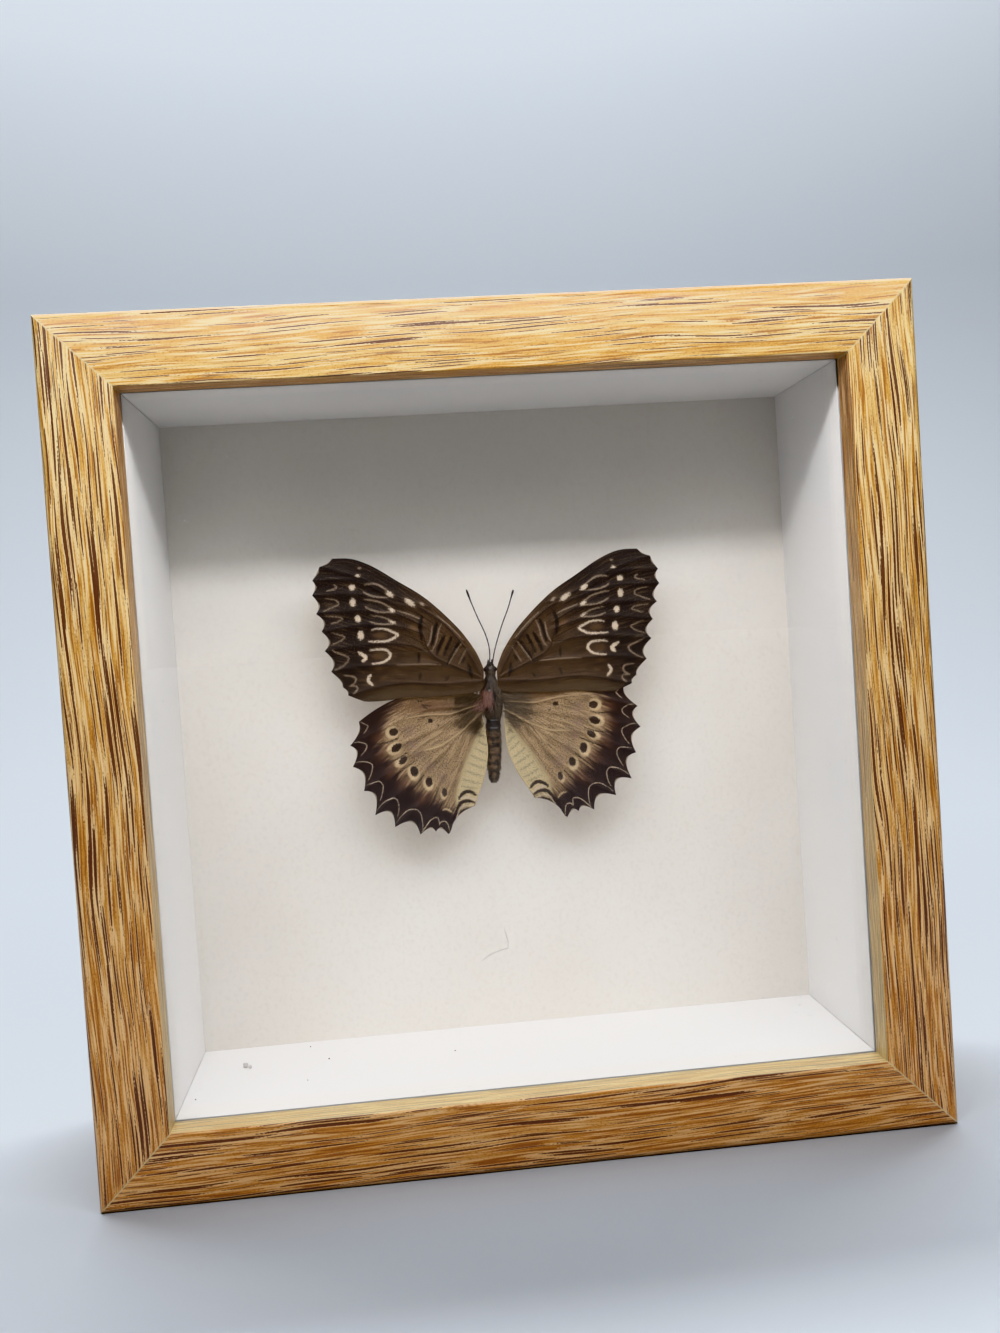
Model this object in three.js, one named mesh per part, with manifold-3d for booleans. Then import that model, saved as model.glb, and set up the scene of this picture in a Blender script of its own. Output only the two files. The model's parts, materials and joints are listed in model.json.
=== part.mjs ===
// Framed butterfly specimen: a deep square shadow-box frame with a spread butterfly pinned behind glass.
// Millimetres, +Z up. The frame stands on its bottom rail and faces -Y, and the origin is under its middle.
import * as THREE from "three";
import { mergeVertices } from "three/addons/utils/BufferGeometryUtils.js";
import Module from "manifold-3d";

const wasm = await Module();
wasm.setup();

// Frame
const OUTER = 180; // side of the square frame
const DEPTH = 58; // front face to rear edge
const FACE_WIDTH = 15; // rail as seen from the front
const WALL = 10; // rail's side wall, behind the lip
const LIP_DEPTH = 6.5; // front face to glass
const OUTER_EASE = 1.5; // rounding of the outer front edge
const INNER_EASE = 0.75; // rounding of the inner front edge
const REAR_EASE = 0.5; // chamfer of the rear edge

// What the frame holds, from the glass back
const CLEARANCE = 0.25; // to the rails' walls; the whole pack rests on the bottom rail
const GLASS_THICKNESS = 2;
const SPACER_THICKNESS = 5.25;
const CARD_DEPTH = 50; // front face to the card
const CARD_THICKNESS = 2;
const BOARD_THICKNESS = 3;

// Fittings on the back
const TAB = { width: 8, reach: 12, tail: 4, thickness: 0.5, spacing: 80 };
const HANGER = { length: 42, height: 9, thickness: 0.75, rise: 1, bridge: 28, z: 154 };
const HANGER_TEETH = { count: 8, depth: 2.5 };
const RIVET = { radius: 1.5, height: 0.5, x: 18 };

// Butterfly
const WING_PLANE = 40; // front face to the forewings at the body
const SPECIMEN = { x: -1.1, z: 96, lean: 2.8 }; // thorax, and its clockwise lean in degrees
const DIHEDRAL = 3; // degrees that the wing tips rise towards the glass
const WING_THICKNESS = 0.3;
const HINDWING_DROP = 0.7; // hindwings lie this far behind the forewings
const SWEEP = { forewing_left: 0, forewing_right: 2.5, hindwing_left: 0, hindwing_right: 13 };
const PIN = { radius: 0.25, hole: 0.55, x: -0.5, z: 1.8, stub: 1, into_card: 1.5 };

// Wing outlines of a right wing: x runs out from the middle of the body, y towards the head.
// Each step of the margin is the bottom of a hollow and the tooth that follows it.
const FOREWING = {
  leading: [[1.7, 6.9], [2.7, 9.4], [4.1, 12], [7.3, 16.3], [12.2, 21.2], [16.5, 24.7], [21.9, 28],
    [26.6, 30.9], [30.1, 32.5], [33, 33.2], [36.6, 33.2]],
  margin: [[[38, 32], [39.6, 31.3]], [[40.2, 29.9], [41.3, 28.1]], [[40.7, 26.6], [41.4, 24.7]],
    [[40, 22.4], [40.6, 20.4]], [[38.9, 18.5], [39.4, 16.3]], [[37.8, 14], [38.8, 11.8]],
    [[36.9, 9.3], [37.4, 7]], [[35.3, 4.8], [34.8, 3.3]], [[33.8, 2.4], [33.6, 1.4]]],
  trailing: [[31, 0.3], [29, -0.2], [24.2, 0], [19.7, 0.6], [15.2, 0.5], [8, 0.9], [3.5, 1.4], [1.7, 2.6]],
};
const HINDWING = {
  leading: [[2.5, 0.8], [10, 2.2], [18, 1.6], [23.1, 0], [26.1, -1.4], [28.7, -3], [31.3, -4.9]],
  margin: [[[31.4, -7.4], [33.4, -10.4]], [[31.9, -12.2], [32.9, -15.4]], [[30.4, -17.3], [30.4, -21.1]],
    [[27.8, -22.5], [27.9, -26.9]], [[24.4, -26.4], [23.3, -29.9]], [[19.4, -28.9], [17.4, -31.9]],
    [[15.1, -30.5], [13.7, -31.4]], [[12.5, -30.7], [10.7, -32.1]], [[8.3, -28], [4.3, -25.7]]],
  trailing: [[3.4, -23.1], [1.9, -19], [0.9, -13.8], [1.1, -10.2], [1.7, -6.5], [2.5, -3.4]],
};

const HALF = OUTER / 2;
const FRONT = -DEPTH / 2;
const CONTENT_HALF = HALF - WALL - CLEARANCE;
const BOARD_BACK = CARD_DEPTH + CARD_THICKNESS + BOARD_THICKNESS;
const QUARTER = Math.PI / 2;
const radians = THREE.MathUtils.degToRad;

const finish = (color, roughness, metalness = 0) =>
  new THREE.MeshStandardMaterial({ color, roughness, metalness });
const oakFoil = finish(0xb98a4a, 0.45);
const clearGlass = finish(0xffffff, 0.02);
clearGlass.transparent = true;
clearGlass.opacity = 0.12;
const whiteBoard = finish(0xe8e8ea, 0.6);
const creamCard = finish(0xe9e3d8, 0.85);
const hardboard = finish(0x8a6a48, 0.8);
const steel = finish(0xb4b6b8, 0.35, 1);
const darkWing = finish(0x33261f, 0.75);
const tawnyWing = finish(0x8d7a62, 0.75);
const darkBody = finish(0x2b2320, 0.7);

function named(name, geometry, material) {
  const mesh = new THREE.Mesh(geometry, material);
  mesh.name = name;
  return mesh;
}

// A closed geometry as a solid that can be joined and cut, and back again.
function solidOf(geometry) {
  const merged = mergeVertices(geometry.clone().deleteAttribute("normal").deleteAttribute("uv"));
  const corners = [...merged.index.array];
  const triangles = corners.flatMap((a, i) => {
    const [b, c] = [corners[i + 1], corners[i + 2]];
    return i % 3 === 0 && a !== b && b !== c && c !== a ? [a, b, c] : [];
  });
  return new wasm.Manifold(
    new wasm.Mesh({
      numProp: 3,
      vertProperties: merged.attributes.position.array,
      triVerts: new Uint32Array(triangles),
    }),
  );
}

function geometryOf(solid) {
  const mesh = solid.getMesh();
  return new THREE.BufferGeometry()
    .setAttribute("position", new THREE.BufferAttribute(mesh.vertProperties, 3))
    .setIndex(new THREE.BufferAttribute(mesh.triVerts, 1));
}

const joined = (geometries) => geometries.map(solidOf).reduce((sum, solid) => sum.add(solid));
const vectors = (points) => points.map((point) => new THREE.Vector2(...point));

function cut(geometry, tools) {
  return tools.map(solidOf).reduce((left, tool) => left.subtract(tool), solidOf(geometry));
}

function polygon(points) {
  return new THREE.Shape(vectors(points));
}

function extruded(shape, depth, curveSegments = 8) {
  return new THREE.ExtrudeGeometry(shape, { depth, bevelEnabled: false, curveSegments });
}

// A square sheet between two distances from the frame's front face.
function sheet(from, to) {
  const side = 2 * CONTENT_HALF;
  return new THREE.BoxGeometry(side, to - from, side).translate(0, FRONT + (from + to) / 2, 0);
}

// A profile carried along the bottom side of the frame, with 45 degree ends.
// The profile's x runs in from the outer side and its y runs back from the front face.
function mitred(profile) {
  const geometry = extruded(profile, 1, 2);
  const place = geometry.attributes.position;
  for (let i = 0; i < place.count; i++) {
    const inward = place.getX(i);
    place.setXYZ(i, (1 - 2 * place.getZ(i)) * (HALF - inward), FRONT + place.getY(i), inward - HALF);
  }
  return geometry;
}

// Pieces made for the bottom side, turned to each side of the frame in a group about its centre.
const SIDES = ["bottom", "left", "top", "right"];

function onEachSide(centreZ, pieces) {
  const group = new THREE.Group();
  group.position.z = centreZ;
  SIDES.forEach((side, turns) => {
    const turned = new THREE.Group().add(...pieces(side));
    turned.rotation.y = turns * QUARTER;
    group.add(turned);
  });
  return group;
}

// An L-shaped moulding: the lip in front holds the glass.
function railProfile() {
  const inner = FACE_WIDTH - INNER_EASE;
  const profile = new THREE.Shape();
  profile.moveTo(0, OUTER_EASE);
  profile.absarc(OUTER_EASE, OUTER_EASE, OUTER_EASE, 2 * QUARTER, 3 * QUARTER);
  profile.lineTo(inner, 0);
  profile.absarc(inner, INNER_EASE, INNER_EASE, 3 * QUARTER, 4 * QUARTER);
  profile.lineTo(FACE_WIDTH, LIP_DEPTH);
  profile.lineTo(WALL, LIP_DEPTH);
  profile.lineTo(WALL, DEPTH);
  profile.lineTo(REAR_EASE, DEPTH);
  profile.lineTo(0, DEPTH - REAR_EASE);
  return profile;
}

// A slot in the rail's wall for the tail of a bend tab.
function tabSlot(along) {
  const thickness = TAB.thickness + 2 * CLEARANCE;
  const slot = new THREE.BoxGeometry(TAB.width + 2 * CLEARANCE, thickness, 2 * (TAB.tail + CLEARANCE));
  return slot.translate(along, FRONT + BOARD_BACK + TAB.thickness / 2, WALL - HALF);
}

// A thin steel leaf with a round tip: its tail is in the rail and its tip holds the back board.
function bendTab(along) {
  const half = TAB.width / 2;
  const leaf = new THREE.Shape();
  leaf.moveTo(-half, -TAB.tail);
  leaf.lineTo(half, -TAB.tail);
  leaf.lineTo(half, TAB.reach - half);
  leaf.absarc(0, TAB.reach - half, half, 0, 2 * QUARTER);
  return extruded(leaf, TAB.thickness)
    .rotateX(QUARTER)
    .translate(along, FRONT + BOARD_BACK + TAB.thickness, WALL - HALF);
}

const tabPlaces = [-TAB.spacing / 2, TAB.spacing / 2];

function railAndTabs(side) {
  const rail = geometryOf(cut(mitred(railProfile()), tabPlaces.map(tabSlot)));
  const tabs = tabPlaces.map((along, i) => named(`bend_tab_${side}_${i + 1}`, bendTab(along), steel));
  return [named(`rail_${side}`, rail, oakFoil), ...tabs];
}

// A white strip that lines the box between the glass and the card.
function spacer(side) {
  const outer = HALF - CONTENT_HALF;
  const inner = outer + SPACER_THICKNESS;
  const front = LIP_DEPTH + GLASS_THICKNESS;
  const profile = polygon([[outer, front], [inner, front], [inner, CARD_DEPTH], [outer, CARD_DEPTH]]);
  return [named(`spacer_${side}`, mitred(profile), whiteBoard)];
}

// A stamped steel strip, flat at both ends, bridged in the middle, with teeth along its lower edge.
function sawtoothHanger() {
  const { length, height, thickness, rise, bridge } = HANGER;
  const [end, step] = [length / 2, bridge / 2];
  const half = thickness / 2;
  const top = rise + thickness;
  const side = [[end, 0], [end, thickness], [step + rise + half, thickness], [step + half, top],
    [-step - half, top], [-step - rise - half, thickness], [-end, thickness], [-end, 0],
    [-step - rise, 0], [-step, rise], [step, rise], [step + rise, 0]];
  const pitch = bridge / HANGER_TEETH.count;
  const edge = Array.from({ length: HANGER_TEETH.count }, (_, i) => [
    [i * pitch - step, 0],
    [(i + 0.5) * pitch - step, HANGER_TEETH.depth],
  ]).flat();
  const face = [[-end, height], [-end, 0], ...edge, [step, 0], [end, 0], [end, height]];
  const strip = extruded(polygon(side), height);
  const stamped = extruded(polygon(face), 4).rotateX(QUARTER).translate(0, 3, 0);
  return geometryOf(solidOf(strip).intersect(solidOf(stamped)));
}

function backFittings() {
  const group = new THREE.Group();
  group.position.set(0, FRONT + BOARD_BACK, HANGER.z);
  group.add(named("sawtooth_hanger", sawtoothHanger(), steel));
  for (const [side, x] of [["left", -RIVET.x], ["right", RIVET.x]]) {
    const head = new THREE.CylinderGeometry(RIVET.radius * 0.7, RIVET.radius, RIVET.height, 16);
    const rivet = named(`hanger_rivet_${side}`, head, steel);
    rivet.position.set(x, HANGER.thickness + RIVET.height / 2, HANGER.height / 2);
    group.add(rivet);
  }
  return group;
}

// A wing of one thickness, standing in the plane of x and z with its front towards -Y.
function wing({ leading, margin, trailing }) {
  const outline = new THREE.Shape();
  outline.moveTo(...leading[0]);
  outline.splineThru(vectors(leading.slice(1)));
  let from = leading.at(-1);
  for (const [hollow, tooth] of margin) {
    const [x, y] = hollow.map((value, i) => 2 * value - (from[i] + tooth[i]) / 2);
    outline.quadraticCurveTo(x, y, ...tooth);
    from = tooth;
  }
  outline.splineThru(vectors(trailing));
  return extruded(outline, WING_THICKNESS, 3).rotateX(QUARTER).translate(0, WING_THICKNESS / 2, 0);
}

// A wing on its side of the body, swept towards the head and raised towards the glass.
function placedWing(name, outline, material, back) {
  const mesh = named(name, wing(outline), material);
  mesh.rotation.y = -radians(SWEEP[name]);
  const raised = new THREE.Group().add(mesh);
  raised.rotation.z = -radians(DIHEDRAL);
  raised.position.y = back;
  const side = new THREE.Group().add(raised);
  side.scale.x = name.endsWith("left") ? -1 : 1;
  return side;
}

// A thin six-sided limb along a smooth path.
function limb(radius, steps, ...points) {
  const round = new THREE.Shape().absarc(0, 0, radius, 0, 4 * QUARTER);
  const extrudePath = new THREE.CatmullRomCurve3(points.map((point) => new THREE.Vector3(...point)));
  return new THREE.ExtrudeGeometry(round, { extrudePath, steps, bevelEnabled: false, curveSegments: 3 });
}

function ball(x, y, z, width, depth, length) {
  return new THREE.SphereGeometry(1, 18, 12).scale(width, depth, length).translate(x, y, z);
}

// The abdomen: rings that swell and taper to a blunt tip, with a groove between each two.
function abdomen() {
  const [length, rings, width, groove] = [17, 8, 1.85, 0.14];
  const radius = (t) => width * Math.sin(Math.PI * (0.28 + 0.72 * t)) ** 0.5;
  const profile = [[0, 0]];
  for (let ring = 0; ring < rings; ring++) {
    const [front, middle] = [ring / rings, (ring + 0.55) / rings];
    profile.push([radius(front) - groove, front * length], [radius(middle), middle * length]);
  }
  profile.push([0, length]);
  return new THREE.LatheGeometry(vectors(profile), 14).rotateX(-QUARTER).translate(0.6, 3.3, -3.2);
}

function antenna(side, points, tip) {
  const stalk = limb(0.2, 14, ...points.map(([x, z], i) => [x, 1.4 - 0.3 * i, z]), [tip[0], -0.5, tip[1]]);
  const club = ball(0, 0, 0, 0.42, 0.42, 1.6).rotateY(side * radians(22)).translate(tip[0], -0.5, tip[1]);
  return [stalk, club];
}

// Two folded legs on one side, under the thorax.
function legs(side) {
  return [1.6, -1.4].map((z, i) =>
    limb(0.24, 12, [side * 0.9, 3.6, z], [side * 3.1, 4.9, z + 1.4], [side * 2.6, 5.8, z - 2.6 - i],
      [side * 2, 5.6, z - 5.2 - 2 * i]),
  );
}

// Body, legs and antennae grown as one, with the hole that the pin makes through the thorax.
function body() {
  const hole = new THREE.CylinderGeometry(PIN.hole, PIN.hole, 20, 10).translate(PIN.x, 0, PIN.z);
  const grown = joined([
    ball(0, 2.2, 0.8, 2.5, 2.4, 5),
    ball(0, 2, 6.4, 1.2, 1.3, 1.4),
    ball(-0.9, 2, 6.7, 0.7, 0.9, 0.8),
    ball(0.9, 2, 6.7, 0.7, 0.9, 0.8),
    ball(-0.4, 2.4, 7.8, 0.35, 0.4, 1.2),
    ball(0.4, 2.4, 7.8, 0.35, 0.4, 1.2),
    abdomen(),
    ...antenna(-1, [[-0.4, 7], [-0.1, 9.6], [-0.3, 12.2], [-1.2, 15.3], [-2.8, 18.8]], [-5, 24.2]),
    ...antenna(1, [[0.4, 7], [0.7, 9.4], [1.5, 12.9], [2.9, 17.3], [4.3, 21]], [5.2, 24]),
    ...legs(-1),
    ...legs(1),
  ]);
  return geometryOf(grown.subtract(solidOf(hole)));
}

function butterfly() {
  const specimen = new THREE.Group();
  specimen.position.set(SPECIMEN.x, FRONT + WING_PLANE, SPECIMEN.z);
  specimen.rotation.y = radians(SPECIMEN.lean);
  specimen.add(named("body", body(), darkBody));
  for (const side of ["left", "right"]) {
    specimen.add(placedWing(`forewing_${side}`, FOREWING, darkWing, 0));
    specimen.add(placedWing(`hindwing_${side}`, HINDWING, tawnyWing, HINDWING_DROP));
  }
  const pinLength = PIN.stub + CARD_DEPTH - WING_PLANE + PIN.into_card - 0.25;
  const pin = named("pin", new THREE.CylinderGeometry(PIN.radius, PIN.radius, pinLength, 10), steel);
  pin.position.set(PIN.x, pinLength / 2 - PIN.stub, PIN.z);
  specimen.add(pin);
  specimen.updateMatrixWorld(true);
  return specimen;
}

const specimen = butterfly();
const pinPlace = specimen.localToWorld(new THREE.Vector3(PIN.x, 0, PIN.z));
const restZ = HALF - CLEARANCE;

// The hole that the pin makes in the card.
const pinHole = new THREE.CylinderGeometry(PIN.hole, PIN.hole, 2 * PIN.into_card, 12)
  .translate(pinPlace.x, FRONT + CARD_DEPTH, pinPlace.z - restZ);

const sheets = new THREE.Group();
sheets.position.z = restZ;
sheets.add(
  named("glass_pane", sheet(LIP_DEPTH, LIP_DEPTH + GLASS_THICKNESS), clearGlass),
  named("card", geometryOf(cut(sheet(CARD_DEPTH, CARD_DEPTH + CARD_THICKNESS), [pinHole])), creamCard),
  named("back_board", sheet(CARD_DEPTH + CARD_THICKNESS, BOARD_BACK), hardboard),
);

const framedSpecimen = new THREE.Group();
framedSpecimen.add(onEachSide(HALF, railAndTabs), onEachSide(restZ, spacer), sheets, backFittings());
framedSpecimen.add(specimen);

export default framedSpecimen;
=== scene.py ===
"""A butterfly pinned in a glazed box frame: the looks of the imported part, as an add-on run as a script."""

import json
import math

import bmesh
import bpy
import numpy as np
from bpy.props import FloatProperty, FloatVectorProperty, PointerProperty
from mathutils import Matrix, Vector

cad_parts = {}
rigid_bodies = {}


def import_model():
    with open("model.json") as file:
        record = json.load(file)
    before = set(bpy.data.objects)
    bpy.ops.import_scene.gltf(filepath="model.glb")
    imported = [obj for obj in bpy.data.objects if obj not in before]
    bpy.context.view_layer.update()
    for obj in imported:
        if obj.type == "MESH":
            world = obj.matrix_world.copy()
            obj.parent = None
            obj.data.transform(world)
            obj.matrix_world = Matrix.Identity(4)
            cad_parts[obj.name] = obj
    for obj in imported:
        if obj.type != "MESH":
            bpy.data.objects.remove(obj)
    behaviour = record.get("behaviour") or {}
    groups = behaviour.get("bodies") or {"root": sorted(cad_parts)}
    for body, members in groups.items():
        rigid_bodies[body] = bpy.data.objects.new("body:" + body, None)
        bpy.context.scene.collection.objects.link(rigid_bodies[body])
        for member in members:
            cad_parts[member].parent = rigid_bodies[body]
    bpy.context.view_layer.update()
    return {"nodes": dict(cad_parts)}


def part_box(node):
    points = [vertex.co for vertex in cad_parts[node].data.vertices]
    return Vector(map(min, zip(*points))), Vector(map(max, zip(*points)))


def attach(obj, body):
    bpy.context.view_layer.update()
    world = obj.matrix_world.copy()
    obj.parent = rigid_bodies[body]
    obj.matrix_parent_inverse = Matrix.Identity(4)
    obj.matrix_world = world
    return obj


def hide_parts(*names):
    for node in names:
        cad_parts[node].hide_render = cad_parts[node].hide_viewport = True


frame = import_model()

bl_info = {
    "name": "Framed butterfly",
    "version": (1, 0, 0),
    "blender": (4, 5, 0),
    "location": "3D View > Sidebar > Specimen",
    "description": "Dresses a box frame and builds the butterfly pinned in it",
    "category": "Object",
}

MM = 0.001
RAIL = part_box("rail_top")
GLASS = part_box("glass_pane")
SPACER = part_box("spacer_top")
HALF = RAIL[1].x
MIDDLE = RAIL[1].z - HALF
FRONT = RAIL[0].y
SIDES = ("top", "right", "bottom", "left")
BUTTERFLY = ("forewing", "hindwing", "body", "pin")
# How thickly the print's grain lies on each rail.
GRAIN = {"top": 0.86, "right": 1.2, "bottom": 1.15, "left": 1.18}
# How far the print is moved on from rail to rail, in metres along and across, so that no two are alike.
PRINT_SHIFT = (1, 0.3)
# How near to a profile's innermost point the inside of the lip is.
LIP_BAND = 0.05 * MM
# What a length stops short of its mitre.
RAIL_GAP = 0.03 * MM
LINING_GAP = 0.06 * MM
REAR_CHAMFER = 0.5 * MM
LINING_EDGE = 0.1 * MM
SHARP_EDGE = math.radians(40)

# Rows of a wing's mesh from root to margin, and its columns for each scallop.
WING_GRID = {"forewing": (200, 18), "hindwing": (170, 26)}
# Size of a wing's map of rays in mm, from root to margin and along it, and how far each side's map is moved.
RAY_MAP = (40, 45)
MAP_SHIFT = 200

# Outlines of a right wing in mm: u runs out from the middle of the body, v towards the head.
# Each step of a margin is the bottom of a hollow and the tooth that follows it.
FOREWING = {
    "leading": [(1.7, 6.9), (2.7, 9.4), (4.1, 12), (7.3, 16.3), (12.2, 21.2), (16.5, 24.7), (21.9, 28),
                (26.6, 30.9), (30.1, 32.5), (33, 33.2), (36.6, 33.2)],
    "margin": [((38, 32), (39.6, 31.3)), ((40.2, 29.9), (41.3, 28.1)), ((40.7, 26.6), (41.4, 24.7)),
               ((40, 22.4), (40.6, 20.4)), ((38.9, 18.5), (39.4, 16.3)), ((37.8, 14), (38.8, 11.8)),
               ((36.9, 9.3), (37.4, 7)), ((35.3, 4.8), (34.8, 3.3)), ((33.8, 2.4), (33.6, 1.4))],
    "trailing": [(31, 0.3), (29, -0.2), (24.2, 0), (19.7, 0.6), (15.2, 0.5), (8, 0.9), (3.5, 1.4),
                 (1.7, 2.6)],
}
HINDWING = {
    "leading": [(2.5, 0.8), (10, 2.2), (18, 1.6), (23.1, 0), (26.1, -1.4), (28.7, -3), (31.3, -4.9)],
    "margin": [((31.4, -7.4), (33.4, -10.4)), ((31.9, -12.2), (32.9, -15.4)),
               ((30.4, -17.3), (30.4, -21.1)), ((27.8, -22.5), (27.9, -26.9)),
               ((24.4, -26.4), (23.3, -29.9)), ((19.4, -28.9), (17.4, -31.9)),
               ((15.1, -30.5), (13.7, -31.4)), ((12.5, -30.7), (10.7, -32.1)), ((8.3, -28), (4.3, -25.7))],
    "trailing": [(3.4, -23.1), (1.9, -19), (0.9, -13.8), (1.1, -10.2), (1.7, -6.5), (2.5, -3.4)],
}

# Markings in the same mm. A spot is its middle, width, height and tilt in degrees; a line is its width and
# its points.
FOREWING_MARKS = {
    "cream": {
        "spots": [(32.2, 26.5, 1.4, 1.3, 0), (32.1, 23, 1.3, 1.9, 0), (31, 19.2, 1.3, 1.6, -20),
                  (30.4, 15.3, 1.4, 2, 0), (30.8, 29.2, 0.9, 0.6, 0), (23.5, 24.8, 1.9, 1.1, 35),
                  (23.1, 21.1, 1.4, 0.8, 30), (23, 18.3, 1.2, 0.5, 20), (18.9, 22.8, 2.7, 1.15, 36)],
        "lines": [(0.85, (31, 11.4), (29.4, 10.2), (30.1, 9.2)),
                  (0.7, (28.2, 6.1), (28.9, 4.9), (27.9, 3.6)),
                  (0.52, (27.8, 16.5), (26.4, 16.8), (24.4, 16.6), (23.1, 16), (21.8, 15.3), (22.8, 14.5),
                   (24.2, 13.9), (26.4, 13.8), (28.5, 13.8)),
                  (0.56, (28.3, 11.8), (26.1, 12), (24.4, 11.7), (23.6, 10.7), (24.2, 9.6), (25.6, 8.9),
                   (27.9, 8.6))],
    },
    "pale": {
        "spots": [(16, 22.4, 1.3, 0.7, 40), (30.4, 30.9, 0.7, 0.5, 0)],
        "lines": [(0.35, (36.4, 27.2), (35.8, 26.7), (36.1, 26.2), (38, 25.7)),
                  (0.32, (38.7, 24), (36.1, 23.6), (35.4, 22.7), (36.1, 22.2), (38.9, 21)),
                  (0.32, (38.5, 19.9), (35.7, 19.7), (34.6, 19.1), (36.1, 18.4), (37.2, 18.1)),
                  (0.32, (37.2, 16.1), (35.5, 15.6), (34.2, 15), (35, 14.1), (37.2, 13.2)),
                  (0.4, (37, 12), (36.1, 11.4), (33.8, 10.5), (33.3, 9.8), (34.3, 8.5), (36.4, 7.3)),
                  (0.4, (34.4, 6.1), (32.2, 5.7), (31.7, 4.9), (32.2, 4.1), (33.2, 3.5)),
                  (0.35, (33, 3.5), (31.8, 3.5), (31.4, 2.9), (31.9, 2.1), (32.4, 1.8)),
                  (0.4, (23.8, 25.5), (26.1, 27), (27.9, 27.3), (29.3, 27)),
                  (0.4, (23.8, 24.1), (26.7, 24.2), (28.6, 24.8), (29.6, 25.4)),
                  (0.4, (22.4, 20.9), (23.6, 21.8), (25.6, 22.9), (28.1, 23.5), (29.4, 23.6)),
                  (0.4, (22.4, 20.5), (23.6, 20.6), (26.1, 20.7), (28.1, 21.3), (29.2, 22)),
                  (0.35, (22.4, 18.2), (23.6, 18.8), (25.3, 19.5), (28, 19.9)),
                  (0.35, (22.4, 18), (23.6, 17.8), (26.4, 17.9), (28.3, 18.5)),
                  (0.32, (11.6, 17.7), (12.3, 15.8), (12.8, 13.4), (13.9, 11.3)),
                  (0.32, (13.7, 17.2), (14, 15), (14.3, 13.8), (14.9, 12.5)),
                  (0.3, (6.9, 12.9), (8.3, 11), (10, 8.2)), (0.25, (5.8, 11.6), (6.7, 9.9), (7.6, 8.2)),
                  (0.3, (12, 8.1), (15.5, 8.3), (19, 8.3), (22, 8.2)),
                  (0.22, (6.4, 13.8), (9.4, 17), (12.5, 19.6)), (0.3, (16.7, 19), (19, 20), (21.7, 20.9))],
    },
    "tan": {
        "spots": [(17.9, 16.8, 2.2, 1.7, 20), (26, 15.2, 3, 1.4, 0), (26.4, 10.4, 3, 1.6, 0)],
        "lines": [(0.6, (25.6, 7.4), (27.1, 7.4)), (0.6, (24.6, 5.6), (26.1, 5)),
                  (1, (11.8, 14.2), (12.6, 11.6)), (1, (10, 14.6), (11.9, 10.4)),
                  (0.35, (3, 9.3), (4.2, 11.5), (5.8, 14), (6.9, 15))],
    },
    "ink": {
        "spots": [(4.9, 6.3, 0.9, 3.4, -12), (6.4, 9.2, 0.7, 1.8, 30)],
        "lines": [(0.9, (12.5, 18), (13.3, 15.4), (13.9, 12.7)),
                  (0.9, (10.8, 14.9), (12, 12.6), (12.8, 10.4)),
                  (0.8, (9.2, 14.6), (10.2, 12.4), (11.1, 10.2)),
                  (0.9, (7.5, 13.2), (9, 10.6), (10.3, 8.2)), (0.6, (17, 11.2), (17, 8.8)),
                  (0.5, (10, 5.4), (10.8, 4.2)), (0.5, (16.6, 6.2), (17, 4.6)),
                  (0.9, (16, 19.6), (16.6, 17), (16.2, 14))],
    },
    "vein": {
        "lines": [(0.4, (14, 21.5), (22, 24), (30, 28.4), (39.6, 31.3)),
                  (0.4, (22, 23.2), (30, 27.8), (41.3, 28.1)), (0.4, (20, 22), (30, 24.6), (41.4, 24.7)),
                  (0.4, (16, 17.2), (22, 20), (30, 20.9), (40.6, 20.4)),
                  (0.4, (16, 15.4), (22, 17.2), (30, 17.6), (39.4, 16.3)),
                  (0.4, (14, 10.4), (20, 12.9), (30, 12.9), (38.8, 11.8)),
                  (0.4, (3, 5), (12, 8.2), (22, 8.1), (30, 8), (37.4, 7)),
                  (0.4, (2.6, 4), (12, 3.4), (22, 3.8), (33.6, 1.4)),
                  (0.4, (2.6, 6), (7, 13), (12, 18.4), (20, 23.6)),
                  (0.4, (2.8, 5), (8, 7.2), (14, 10.4), (16, 15.4))],
    },
}
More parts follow.
